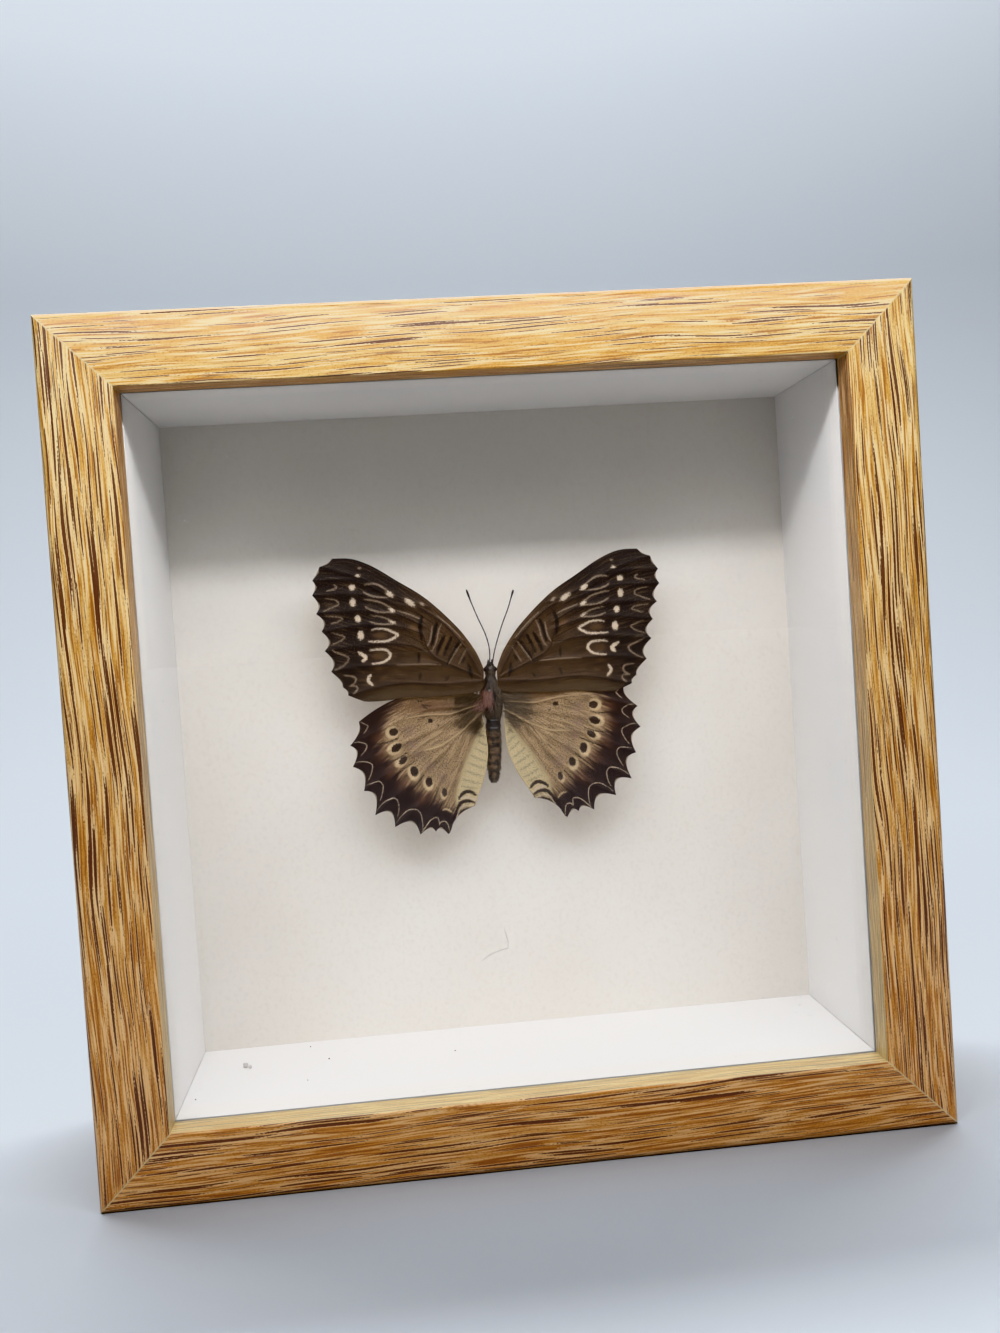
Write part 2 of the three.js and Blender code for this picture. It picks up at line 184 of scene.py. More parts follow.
HINDWING_MARKS = {
    "halo": {
        "spots": [(23.6, -7.6, 3.1, 3, 0), (23.1, -11.4, 3.7, 2.8, -30), (21.5, -14.5, 3.5, 2.3, -40),
                  (18.7, -17.3, 2.7, 3.8, -20), (15.3, -20, 2.4, 3.2, -15), (11.6, -22.6, 1.7, 2.4, 0)],
        "lines": [(0.4, (9.8, -27), (10.4, -26.4), (11.4, -26.1), (11.9, -26.3))],
    },
    "ink": {
        "spots": [(23.2, -7.5, 2.2, 1.8, -15), (22.6, -11.2, 2.8, 1.8, -35), (21.1, -14.2, 2.5, 1.5, -45),
                  (18.5, -16.9, 1.9, 2.5, -15), (15.1, -19.5, 1.7, 2.3, -10), (11.5, -22.1, 1.3, 2.1, 0),
                  (14.5, -5.1, 1.3, 1.1, 0), (12.7, -6.2, 0.5, 0.5, 0)],
        "lines": [(0.35, (14.3, -1.7), (16.4, -1.4), (15.1, -2.3)), (0.35, (16.4, -0.5), (17.6, -0.3)),
                  (0.9, (3.9, -23.2), (5.1, -22.3), (6.2, -22.2), (7.5, -23), (8, -23.9)),
                  (0.5, (5.6, -22.3), (5.6, -21.9)),
                  (0.9, (4.3, -24.9), (5.9, -24.4), (7.6, -24.8), (8.5, -26.3), (9.6, -29.2)),
                  (0.6, (5.1, -26), (7.2, -26.7), (8.4, -28.4), (9.6, -31)),
                  (0.3, (22.2, -8.9), (24.3, -9.8), (28, -10.4)),
                  (0.3, (19.8, -12.3), (23.3, -14.2), (28, -15.4)),
                  (0.3, (18, -14.2), (20.9, -16.3), (26, -20)),
                  (0.3, (16.2, -17.8), (18, -19.9), (22, -25)),
                  (0.3, (12.7, -20.7), (13.8, -23.1), (16, -27))],
    },
    "white": {
        "lines": [(0.21, (30.9, -4.9), (29.7, -5.6), (29.2, -6.1), (30.2, -7.7)),
                  (0.21, (32.7, -9.8), (31.3, -9.6), (29.7, -10.2), (29.7, -11.3), (30.9, -12.8)),
                  (0.21, (32.5, -14.4), (30.6, -14.2), (28.7, -14.7), (28.3, -15.7), (28.8, -17.6),
                   (29.4, -18.8)),
                  (0.21, (30, -19.9), (28.3, -19.3), (26.8, -19), (25.9, -20.1), (26.2, -22.1),
                   (26.7, -23.6)),
                  (0.21, (27.6, -26), (26.2, -24.3), (24.8, -23.4), (23.4, -23.05), (22.5, -23.9),
                   (22.3, -25.7), (22.7, -27.6)),
                  (0.21, (23, -28.9), (21.7, -27.3), (20.1, -26), (18.4, -25.9), (17.3, -26.9),
                   (16.8, -28.9), (16.8, -30.7)),
                  (0.23, (17, -31.4), (16.2, -30.2), (14.8, -28.5), (13.5, -28), (13, -28.5),
                   (12.8, -29.8)),
                  (0.23, (12.8, -29.8), (12.5, -29.2), (11.8, -29), (11, -29.4), (10.4, -31.4)),
                  (0.36, (10, -31.3), (9, -29.2), (8.5, -27.6), (7.7, -26), (6.4, -25.5), (4.6, -25.7)),
                  (0.7, (4.05, -24.4), (5.9, -23.5), (7.7, -23.8))],
    },
    "vein": {
        "lines": [(0.3, (3, -1.6), (5.9, -2.4), (9.6, -3.5), (13.8, -3.6), (16.9, -3.8), (20.4, -4.4)),
                  (0.42, (2.4, -3.4), (3.8, -4.6), (6.7, -7.3), (9.6, -9.4), (12.2, -11), (14.8, -11.7),
                   (16.2, -12.1)), (0.28, (8.3, -9.7), (9.05, -11.3), (10.1, -14)),
                  (0.25, (12.2, -8), (16.2, -10.2), (19.6, -12.8))],
    },
    "bar": {
        "lines": [(0.4, (1.6, -9.6), (2.2, -9), (2.9, -8.8)),
                  (0.45, (1.3, -11.4), (2.2, -10.8), (3.4, -10.2)),
                  (0.45, (1.3, -13.2), (2.4, -12.8), (4, -11.8)),
                  (0.5, (1.6, -15), (3, -14.6), (4.9, -13.6)),
                  (0.5, (2, -16.8), (3.6, -16.2), (5.6, -15.4)),
                  (0.5, (2.5, -18.6), (4.2, -18), (6.4, -17.2)),
                  (0.45, (3, -20.4), (4.8, -19.9), (7, -19.2)),
                  (0.4, (3.6, -21.6), (5, -21.3), (7.4, -20.8))],
    },
    "rust": {
        "spots": [(26.7, -8.6, 3, 2, -30), (25.9, -12.8, 3, 2, -35), (23.8, -16.8, 3.2, 2, -45),
                  (20.9, -19.7, 3.2, 2, -45), (16.4, -23.4, 3.6, 2, -45)],
    },
    "violet": {
        "spots": [(19.6, -7.2, 2.6, 2.6, 0), (18.8, -10.7, 2.8, 2.6, 0), (17.2, -13.1, 2.6, 2.6, 0),
                  (14.8, -16, 2.6, 2.6, 0), (12, -18.6, 2.4, 2.6, 0)],
    },
    "ridge": {
        "lines": [(0.3, (4, -2), (14, -2.4), (23, -5.4), (33.4, -10.4)),
                  (0.3, (4, -3), (16, -8), (32.9, -15.4)), (0.3, (8, -8), (19, -13.2), (30.4, -21.1)),
                  (0.3, (8, -9), (17, -17.5), (27.9, -26.9)), (0.3, (7, -9), (13.4, -20.6), (23.3, -29.9)),
                  (0.3, (5, -9), (10, -21), (17.4, -31.9)), (0.3, (4, -9), (7.7, -18.6), (10.7, -32.1))],
    },
}
# Where the hindwing's dark outer band begins, and where its pale inner strip ends.
BAND_EDGE = [(20, 0), (24, -4.5), (25.5, -8), (25.2, -12), (23, -15.5), (20, -18.5), (16.5, -21.3),
             (13, -23.3), (10, -25), (8.5, -26)]
BAND_CENTRE = (8, -6)
INNER_STRIP = [(1.8, -4), (2.9, -7), (4.8, -11.3), (6.2, -14.4), (7.7, -18.6), (8.5, -21.3), (8.8, -23)]
# Upper edge of the greyish strip along the forewing's trailing edge.
TRAILING_STRIP = [(2, 2.6), (5, 1.8), (13, 2.2), (19.4, 2.8), (26.4, 2.2), (31, 0.4), (34, -1)]

# Stations of the body in mm: place along it, sideways and backwards, half width and half depth.
TRUNK = [(8.5, 0, 2.3, 0.1, 0.1), (8.2, 0, 2.2, 0.55, 0.5), (7.2, 0, 2, 1.05, 1), (6.1, 0, 2, 1.1, 1.1),
         (5.4, 0, 2, 0.95, 1), (4.4, 0, 2, 1.35, 1.5), (2.8, 0, 2.1, 2, 2.1), (0.8, 0, 2.2, 2.45, 2.4),
         (-1.4, 0.1, 2.3, 2.3, 2.3), (-3, 0.3, 2.6, 1.75, 1.8), (-4, 0.5, 2.9, 1.5, 1.55),
         (-5.6, 0.6, 3.1, 1.6, 1.65), (-9, 0.6, 3.3, 1.85, 1.8), (-13, 0.6, 3.3, 1.85, 1.75),
         (-16.4, 0.6, 3.3, 1.6, 1.55), (-18.8, 0.6, 3.3, 1.2, 1.15), (-19.9, 0.6, 3.3, 0.75, 0.7),
         (-20.2, 0.6, 3.3, 0.1, 0.1)]
ABDOMEN = {"from": -3.6, "to": -19.8, "rings": 8, "groove": 0.07, "crescents": (-5.4, -7.2)}
TRUNK_ROWS, TRUNK_SIDES = 200, 56
# The side and the stretch of the thorax that are rosy.
ROSY = {"right": 0.5, "front": 2.2, "rear": -2.8}
EYE = {"across": 0.95, "back": 1.9, "rise": (5.9, 7.5), "radius": 0.72}
# Points of the palps and legs are those of the right side.
PALP = [(0.35, 2.2, 7.4), (0.45, 2.1, 8.3), (0.4, 2.3, 9)]
LEGS = [[(0.9, 3.6, 1.6), (3.1, 4.9, 3), (2.6, 5.8, -1), (2, 5.6, -3.6)],
        [(0.9, 3.6, -1.4), (3.1, 4.9, 0), (2.6, 5.8, -5), (2, 5.6, -8.6)]]
ANTENNAE = [[(-0.4, 1.4, 7), (-0.1, 1.1, 9.6), (-0.3, 0.8, 12.2), (-1.2, 0.5, 15.3), (-2.8, 0.2, 18.8),
             (-4.4, -0.3, 22.6), (-5.5, -0.6, 25.6)],
            [(0.4, 1.4, 7), (0.7, 1.1, 9.4), (1.5, 0.8, 12.9), (2.9, 0.5, 17.3), (4.3, 0.2, 21),
             (5, -0.3, 23.4), (5.6, -0.5, 25.4)]]
# Hairs, the points of each, and the rows at both ends of the trunk that have none.
BODY_HAIRS, WING_HAIRS = 5200, 1500
HAIR_POINTS = 7
BALD_ENDS = 4

# Dust in mm from the middle of the frame and from its front: across, backwards, up, and size. The crumbs lie
# in the box, on the bottom strip, and the fibres on the glass.
LINT = [(-57, 6.4, 62.5, 0.3), (-54.6, 6.4, 61, 0.36), (-51.6, 6.4, 62.5, 0.24), (-50.4, 6.4, 61, 0.24),
        (-64, 6.4, 48.5, 0.4), (-69, 6.4, 58.5, 0.26), (-61.5, 6.4, 44, 0.2), (-30, 6.4, 58, 0.22),
        (-14, 6.4, 48, 0.24), (12, 6.4, 60, 0.2), (38, 6.4, 56, 0.26), (64.5, 6.4, 63, 0.3),
        (68, 6.4, 57, 0.24), (69.5, 6.4, 66, 0.22), (52, 6.4, 44, 0.22), (-71, 6.4, 12, 0.2)]
CRUMBS = [(-63.8, 35.8, -74.4, 1.4), (-62.7, 35, -74.6, 0.9), (-49.6, 45.7, -74.8, 0.35),
          (-44.7, 36, -74.8, 0.4), (-48.8, 23.4, -74.8, 0.28), (-72.5, 18.2, -74.8, 0.3),
          (-15.5, 33.2, -74.8, 0.35)]
FIBRES = [[(-4.2, 6.35, -40.9), (-3.8, 6.35, -42.8), (-3.6, 6.35, -44.2), (-3.8, 6.35, -45.6)],
          [(-3.9, 6.35, -45.1), (-6.4, 6.35, -45.7), (-8, 6.35, -46.4), (-9.4, 6.35, -47.4)]]

# The stage, in metres and degrees: the floor's profile, the key light's place from the lip of the top rail
# and the share of it that the butterfly stops, and the camera's place and axes.
SWEEP = {"front": -7, "bend": 0.35, "radius": 0.4, "height": 2.2, "half_width": 2.2}
KEY = {"rise": 35.7, "away": 0.17, "size": (0.4, 0.02), "turn": 35, "stopped": 0.45}
CAMERA = {
    "sensor": 36,
    "lens": 33.08,
    "near": 0.01,
    "place": (-0.024248, -0.278159, 0.112735),
    "right": (0.99370, -0.09067, -0.06593),
    "up": (0.06860, 0.02665, 0.99729),
    "back": (-0.08867, -0.99552, 0.03270),
}


def linear(code):
    """An sRGB hex colour as linear red, green, blue and alpha."""
    channels = np.array([int(code[place:place + 2], 16) for place in (1, 3, 5)]) / 255
    curved = ((channels + 0.055) / 1.055) ** 2.4
    return (*np.where(channels <= 0.04045, channels / 12.92, curved).tolist(), 1)


def length_property(name, description, default):
    """A length in metres that the sidebar shows."""
    return FloatProperty(name=name, description=description, default=default, unit="LENGTH", precision=5)


def angle_property(name, description, degrees):
    """An angle that the sidebar shows in degrees."""
    return FloatProperty(name=name, description=description, default=math.radians(degrees), subtype="ANGLE")


def power_property(name, description, default):
    """A lamp's power that the sidebar shows in watts."""
    return FloatProperty(name=name, description=description, default=default, unit="POWER")


def colour_property(name, description, code):
    """A colour that the sidebar shows, given as sRGB hex."""
    return FloatVectorProperty(name=name, description=description, default=linear(code), subtype="COLOR",
                               size=4, min=0, max=1)


class FrameSettings(bpy.types.PropertyGroup):
    """Sizes and colours of the box frame."""

    face_width: length_property("Face width", "Width of a rail as seen from the front", RAIL[1].z - RAIL[0].z)
    depth: length_property("Depth", "Front face to rear edge", RAIL[1].y - RAIL[0].y)
    wall: length_property("Wall", "Thickness of a rail behind its lip", 10 * MM)
    lip_depth: length_property("Lip depth", "Front face to glass", GLASS[0].y - FRONT)
    outer_ease: length_property("Outer rounding", "Radius of the outer front edge", 1.5 * MM)
    inner_ease: length_property("Inner rounding", "Radius of the inner front edge", 0.4 * MM)
    # Pale of the print, and the colour of the painted highlights on the groove edges and inside the low lip.
    foil_pale_and_highlight: colour_property("Foil pale", "Edges of the grooves in the foil", "#f0e0b0")
    # Pale wood of the print, and also the colour of the painted glints.
    foil_light_and_glint: colour_property("Foil light", "Pale wood between the grain lines", "#dfc27e")
    foil_mid: colour_property("Foil middle", "Golden brown of the printed wood", "#cda04a")
    foil_dark: colour_property("Foil dark", "Brown of the printed grain", "#9c6528")
    # Painted shade: the colour multiplied into the foil low on the face and high inside the lip.
    foil_painted_shade: colour_property("Foil reddish", "Tinge of the print low on the frame", "#fde0d0")
    foil_pore: colour_property("Foil grooves", "Dark bottoms of the grooves", "#643515")
    wall_white: colour_property("Lining", "White of the strips that line the box", "#eeecea")
    card_cream: colour_property("Card", "Cream of the card behind the butterfly", "#e6e1da")
    board_brown: colour_property("Back board", "Brown of the pressed-fibre back", "#8a6c4c")
    steel_grey: colour_property("Fittings", "Zinc plate of the tabs and the hanger", "#b9bcbf")


class ButterflySettings(bpy.types.PropertyGroup):
    """Place, pose and colours of the butterfly."""

    across: length_property("Across", "Thorax from the middle of the frame", -1.1 * MM)
    height: length_property("Height", "Thorax above the bottom of the frame", 96 * MM)
    plane: length_property("Wing plane", "Forewings at the body behind the front face", 40 * MM)
    hind_drop: length_property("Hindwing drop", "Hindwings behind the forewings", 0.7 * MM)
    thickness: length_property("Wing thickness", "Thickness of a wing with its scales", 0.16 * MM)
    lean: angle_property("Lean", "Clockwise turn of the whole butterfly", 2.8)
    dihedral: angle_property("Dihedral", "Rise of the wing tips towards the glass", 3)
    fore_left: angle_property("Left forewing", "Turn towards the head", 0)
    fore_right: angle_property("Right forewing", "Turn towards the head", 2.5)
    hind_left: angle_property("Left hindwing", "Turn towards the head", 0)
    hind_right: angle_property("Right hindwing", "Turn towards the head", 13)
    fore_base: colour_property("Forewing base", "Brown near the body", "#5d4733")
    fore_tip: colour_property("Forewing tip", "Blackish brown of the outer half", "#231a18")
    hind_ground: colour_property("Hindwing", "Tan of the hindwing's middle", "#a98f70")
    hind_band: colour_property("Hindwing band", "Blackish brown along the hindwing's margin", "#2b1c19")
    cream: colour_property("Cream marks", "Cream of the spots", "#cdbca6")


class StageSettings(bpy.types.PropertyGroup):
    """Floor and lights."""

    floor: colour_property("Floor", "Pale floor and backdrop", "#c9d0d8")
    key: power_property("Key light", "Strip of light above and in front", 0.49)
    wash: power_property("Backdrop light", "Soft light from above and behind", 17)
    rails: power_property("Rail light", "Soft light on the rails alone", 1.5)
    fill: FloatProperty(name="Fill light", description="Even light from all round", default=0.023, min=0)


def add(tree, kind, links=None, out=None, **settings):
    """Adds a shader node with its settings. Each link names an input, by name or number, and gives it a value
    or another node's output to follow. Returns the named output, or the first one in use."""
    made = tree.nodes.new("ShaderNode" + kind)
    for name, value in settings.items():
        setattr(made, name, value)
    for name, value in (links or {}).items():
        socket = made.inputs[name]
        if isinstance(name, str):
            socket = next(s for s in made.inputs if s.enabled and s.name == name)
        if isinstance(value, bpy.types.NodeSocket):
            tree.links.new(value, socket)
        else:
            socket.default_value = value
    if out:
        return made.outputs[out]
    return next((s for s in made.outputs if s.enabled), None)


def new_material(name):
    """An empty material and its node tree."""
    made = bpy.data.materials.new(name)
    made.use_nodes = True
    made.node_tree.nodes.clear()
    return made, made.node_tree


def surfaced(made, inputs, bump=None):
    """Closes a material with a shader of these inputs. A bump is its height, strength and depth in mm."""
    tree = made.node_tree
    if bump:
        height, strength, depth = bump
        raised = add(tree, "Bump", {"Height": height, "Strength": strength, "Distance": depth * MM})
        inputs = {**inputs, "Normal": raised}
    shader = add(tree, "BsdfPrincipled", inputs)
    add(tree, "OutputMaterial", {"Surface": shader})
    return made


def mottles(tree, *kinds):
    """Noises in a piece's own space, each of a size in mm and with a detail."""
    place = add(tree, "TexCoord", out="Object")
    return [add(tree, "TexNoise", {"Vector": place, "Scale": 1 / (size * MM), "Detail": detail})
            for size, detail in kinds]


def lay(tree, ground, layers, fade="LINEAR"):
    """Lays colours over the ground. Each shows as far as its value has come from a low one to a high one, and
    with its strength at most."""
    for value, low, high, strength, colour in layers:
        mask = add(tree, "MapRange", {"Value": value, "From Min": low, "From Max": high, "To Max": strength},
                   interpolation_type=fade)
        ground = add(tree, "Mix", {"Factor": mask, "A": ground, "B": colour}, data_type="RGBA")
    return ground


def oak_foil(look):
    """Printed and embossed oak foil wrapped on a moulding, under a satin lacquer. The print runs along each
    rail: broad golden tones, fine streaks and grit, and in clusters slender dark grooves up to 30 mm long,
    each between painted highlights where its embossed edges would catch the light; sparse painted glints
    speckle it. Painted shade makes it darker and redder low on the face and high inside the lip, and a
    painted highlight makes it pale low inside the lip. The mitres show a thin bare edge."""
    made, tree = new_material("oak_foil_satin")
    along = add(tree, "UVMap", uv_map="pattern")
    place = add(tree, "Mapping", {"Vector": along, "Scale": (1 / (45 * MM), 1 / (9 * MM), 1)})
    sway = add(tree, "TexNoise", {"Vector": place, "Scale": 1, "Detail": 1}, "Color", noise_dimensions="2D")
    swayed = add(tree, "VectorMath", {0: sway, 1: (0, 2.5 * MM, 0), 2: along}, operation="MULTIPLY_ADD")
    slanted = add(tree, "Mapping", {"Vector": swayed, "Rotation": (0, 0, math.radians(1.5))})

    def stretched(length, width, first=0):
        """Places for a pattern that long and wide in mm. Turned after it is stretched, it shows no bands
        across the grain."""
        return add(tree, "Mapping", {"Vector": slanted, "Location": (first, first, 0),
                                     "Rotation": (0, 0, math.radians(40)),
                                     "Scale": (1 / (length * MM), 1 / (width * MM), 1)})

    grain = {}
    for name, length, width, detail in (("tone", 60, 1.5, 3), ("line", 14, 0.42, 2), ("cluster", 45, 4, 1),
                                        ("grit", 0.6, 0.35, 1), ("glint", 0.45, 0.3, 0)):
        place = stretched(length, width)
        grain[name] = add(tree, "TexNoise", {"Vector": place, "Scale": 1, "Detail": detail},
                          noise_dimensions="2D")
    crowd = add(tree, "MapRange", {"Value": grain["cluster"], "From Min": 0.36, "From Max": 0.6,
                                   "To Min": 0.8, "To Max": 1.1})
    dense = add(tree, "Attribute", out="Fac", attribute_name="dense")
    crowd = add(tree, "Math", {0: crowd, 1: dense}, operation="MULTIPLY")
    about = add(tree, "Math", {0: grain["line"], 1: 0.5}, operation="SUBTRACT")
    line = add(tree, "Math", {0: about, 1: crowd}, operation="MULTIPLY")
    rough_edge = add(tree, "MapRange", {"Value": grain["grit"], "To Min": -0.06, "To Max": 0.06})
    edges, bottoms = [], []
    for length, width, widest, first in ((52, 0.95, 0.26, 0), (30, 0.8, 0.26, 5.5), (38, 0.7, 0.25, 9.5)):
        cell = add(tree, "TexVoronoi", {"Vector": stretched(length, width, first), "Scale": 1},
                   voronoi_dimensions="2D").node
        away = add(tree, "Math", {0: cell.outputs["Distance"], 1: rough_edge}, operation="ADD")
        chance = add(tree, "SeparateColor", {"Color": cell.outputs["Color"]})
        size = add(tree, "MapRange", {"Value": chance, "From Min": 0.15, "From Max": 0.9, "To Max": widest})
        reach = add(tree, "Math", {0: size, 1: crowd}, operation="MULTIPLY")
        bottom = add(tree, "Math", {0: reach, 1: away}, operation="SUBTRACT")
        # Painted highlight: a pale rim beside each groove, where its embossed edges would catch the light.
        rim = add(tree, "Math", {0: reach, 1: 0.6, 2: bottom}, operation="MULTIPLY_ADD")
        edges.append((rim, 0, 0.08, 0.75, look.foil_pale_and_highlight))
        bottoms.append((bottom, -0.01, 0.05, 0.95, look.foil_pore))
    # Painted highlight: the inside of the lip pales towards the bottom of the frame.
    lip = add(tree, "Attribute", out="Fac", attribute_name="lip")
    colour = lay(tree, look.foil_mid, [(grain["tone"], 0.45, 0.66, 1, look.foil_light_and_glint)])
    colour = lay(tree, colour, [
        (grain["grit"], 0.52, 0.75, 0.45, look.foil_dark),
        # Painted glints: sparse bright specks in the pale wood colour.
        (grain["glint"], 0.58, 0.78, 0.45, look.foil_light_and_glint),
        (line, -0.02, -0.17, 0.85, look.foil_dark), (line, 0.03, 0.16, 0.85, look.foil_pale_and_highlight),
        *edges, *bottoms, (lip, 0, 1, 0.55, look.foil_pale_and_highlight)], "SMOOTHSTEP")
    # Painted shade: the print is multiplied darker and redder low on the face and high inside the lip.
    ruddy = add(tree, "Attribute", out="Fac", attribute_name="ruddy")
    colour = add(tree, "Mix", {"Factor": ruddy, "A": colour, "B": look.foil_painted_shade}, data_type="RGBA",
                 blend_type="MULTIPLY")
    place = add(tree, "TexCoord", out="Object")
    centred = add(tree, "Mapping", {"Vector": place, "Location": (0, 0, -MIDDLE)})
    folded = add(tree, "VectorMath", {0: centred}, operation="ABSOLUTE")
    corner = add(tree, "SeparateXYZ", {"Vector": folded}).node
    apart = add(tree, "Math", {0: corner.outputs["X"], 1: corner.outputs["Z"]}, operation="SUBTRACT")
    seam = add(tree, "Math", {0: apart}, operation="ABSOLUTE")
    colour = lay(tree, colour, [(seam, 0.34 * MM, 0.1 * MM, 0.6, look.foil_pale_and_highlight)])
    rough = add(tree, "MapRange", {"Value": grain["line"], "To Min": 0.36, "To Max": 0.5})
    groove, *_ = bottoms[0]
    height = add(tree, "MapRange", {"Value": groove, "From Min": -0.05, "From Max": 0.06, "To Min": 1,
                                    "To Max": 0})
    return surfaced(made, {"Base Color": colour, "Roughness": rough, "IOR": 1.56, "Coat Weight": 0.35,
                           "Coat Roughness": 0.4}, (height, 0.5, 0.12))


def white_board(look):
    """White-faced board: matt paper over foam, cool white, with faint scuffs a few mm long."""
    made, tree = new_material("white_faced_board")
    cloud, fine = mottles(tree, (28, 3), (1.6, 2))
    colour = lay(tree, look.wall_white, [(cloud, 0.35, 0.75, 0.35, linear("#e6e5e6")),
                                         (fine, 0.68, 0.78, 0.4, linear("#b9b6b4"))])
    return surfaced(made, {"Base Color": colour, "Roughness": 0.55, "IOR": 1.46}, (fine, 0.1, 0.1))


def cream_card(look):
    """Uncoated cream card: soft mottling from the felt of its fibres, drawn at 0.9 mm so that it shows."""
    made, tree = new_material("cream_card")
    cloud, felt = mottles(tree, (35, 2), (0.9, 3))
    colour = lay(tree, look.card_cream, [(cloud, 0.3, 0.7, 0.5, linear("#dfd8ce")),
                                         (felt, 0.5, 0.9, 0.3, linear("#c9c0b5"))])
    return surfaced(made, {"Base Color": colour, "Roughness": 0.9, "IOR": 1.45}, (felt, 0.15, 0.1))


def float_glass():
    """Clear float glass with the faintest green in broad smears. Lamps shine straight through."""
    made, tree = new_material("float_glass")
    [smear] = mottles(tree, (40, 2))
    colour = add(tree, "Mix", {"Factor": smear, "A": linear("#ffffff"), "B": linear("#fcfefd")},
                 data_type="RGBA")
    glass = add(tree, "BsdfPrincipled", {"Base Color": colour, "Roughness": 0, "IOR": 1.5,
                                         "Transmission Weight": 1})
    lamps = add(tree, "LightPath", out="Is Shadow Ray")
    clear = add(tree, "BsdfTransparent")
    shader = add(tree, "MixShader", {0: lamps, 1: glass, 2: clear})
    add(tree, "OutputMaterial", {"Surface": shader})
    return made


def lint_and_crumbs():
    """White lint on the glass, slightly mottled, and specks that are as brown as their attribute says."""
    made, tree = new_material("lint_and_crumbs")
    [mottle] = mottles(tree, (0.3, 2))
    pale = add(tree, "Mix", {"Factor": mottle, "A": linear("#d9d6d0"), "B": linear("#fbfaf7")},
               data_type="RGBA")
    brown = add(tree, "Attribute", out="Fac", attribute_name="brown")
    colour = add(tree, "Mix", {"Factor": brown, "A": pale, "B": linear("#6b473e")}, data_type="RGBA")
    return surfaced(made, {"Base Color": colour, "Roughness": 0.8})


def hardboard(look):
    """Pressed-fibre board: brown, matt, with fibres lying every way, drawn 2 mm long so that they show."""
    made, tree = new_material("hardboard")
    fibre, cloud = mottles(tree, (2, 5), (40, 2))
    fibre.node.inputs["Distortion"].default_value = 1.5
    colour = add(tree, "Mix", {"Factor": fibre, "A": linear("#5f472e"), "B": look.board_brown},
                 data_type="RGBA")
    colour = lay(tree, colour, [(cloud, 0.4, 0.7, 0.4, linear("#a58a66"))])
    return surfaced(made, {"Base Color": colour, "Roughness": 0.75, "IOR": 1.48}, (fibre, 0.4, 0.15))


def zinc_plate(look):
    """Zinc-plated steel strip: rolled lines 0.4 mm apart under a dull spangle."""
    made, tree = new_material("zinc_plated_steel")
    place = add(tree, "TexCoord", out="Object")
    rolled = add(tree, "Mapping", {"Vector": place, "Scale": (1 / (12 * MM), 1 / (12 * MM), 1 / (0.4 * MM))})
    lines = add(tree, "TexNoise", {"Vector": rolled, "Scale": 1, "Detail": 2})
    spangle = add(tree, "TexVoronoi", {"Vector": place, "Scale": 1 / (2.5 * MM)}, "Color")
    tone = add(tree, "Mix", {"Factor": lines, "A": linear("#8f9296"), "B": look.steel_grey}, data_type="RGBA")
    colour = add(tree, "Mix", {"Factor": 0.08, "A": tone, "B": spangle}, data_type="RGBA",
                 blend_type="OVERLAY")
    rough = add(tree, "MapRange", {"Value": lines, "To Min": 0.25, "To Max": 0.5})
    return surfaced(made, {"Base Color": colour, "Metallic": 1, "Roughness": rough})


def lay_marks(tree, ground, ragged, marks):
    """Lays each marking over the ground. A mark's point attribute is the signed distance to its edge in mm;
    ragged noise shifts that edge as uneven rows of scales do, and the colour fades across it."""
    for field, code, soft, shift, strength in marks:
        edge = add(tree, "Attribute", out="Fac", attribute_name=field)
        moved = add(tree, "Math", {0: ragged, 1: shift, 2: edge}, operation="MULTIPLY_ADD")
        colour = linear(code) if isinstance(code, str) else code
        ground = lay(tree, ground, [(moved, soft, -soft, strength, colour)], "SMOOTHSTEP")
    return ground


def wing_noises(tree):
    """Noises on a wing's own maps, which are in mm: rows of scales (really 0.1 mm, drawn at 0.3 mm so that
    they show), clouds of 3 mm, rays that run from root to margin, and the scales' noise about zero for ragged
    edges."""
    place = add(tree, "UVMap", uv_map="pattern")
    scales = add(tree, "TexNoise", {"Vector": place, "Scale": 1 / 0.3, "Detail": 2}, noise_dimensions="2D")
    clouds = add(tree, "TexNoise", {"Vector": place, "Scale": 1 / 3, "Detail": 3}, noise_dimensions="2D")
    out = add(tree, "Mapping", {"Vector": add(tree, "UVMap", uv_map="rays"), "Scale": (1 / 5, 1 / 0.6, 1)})
    rays = add(tree, "TexNoise", {"Vector": out, "Scale": 1, "Detail": 3}, noise_dimensions="2D")
    ragged = add(tree, "MapRange", {"Value": scales, "From Min": 0.25, "From Max": 0.75, "To Min": -1,
                                    "To Max": 1})
    return scales, clouds, rays, ragged


def wing_shader(made, colour, scales):
    """Closes a wing's material: dull overlapping scales with a faint silky sheen."""
    return surfaced(made, {"Base Color": colour, "Roughness": 0.62, "IOR": 1.5, "Specular IOR Level": 0.35,
                           "Sheen Weight": 0.08, "Sheen Roughness": 0.4}, (scales, 0.25, 0.06))


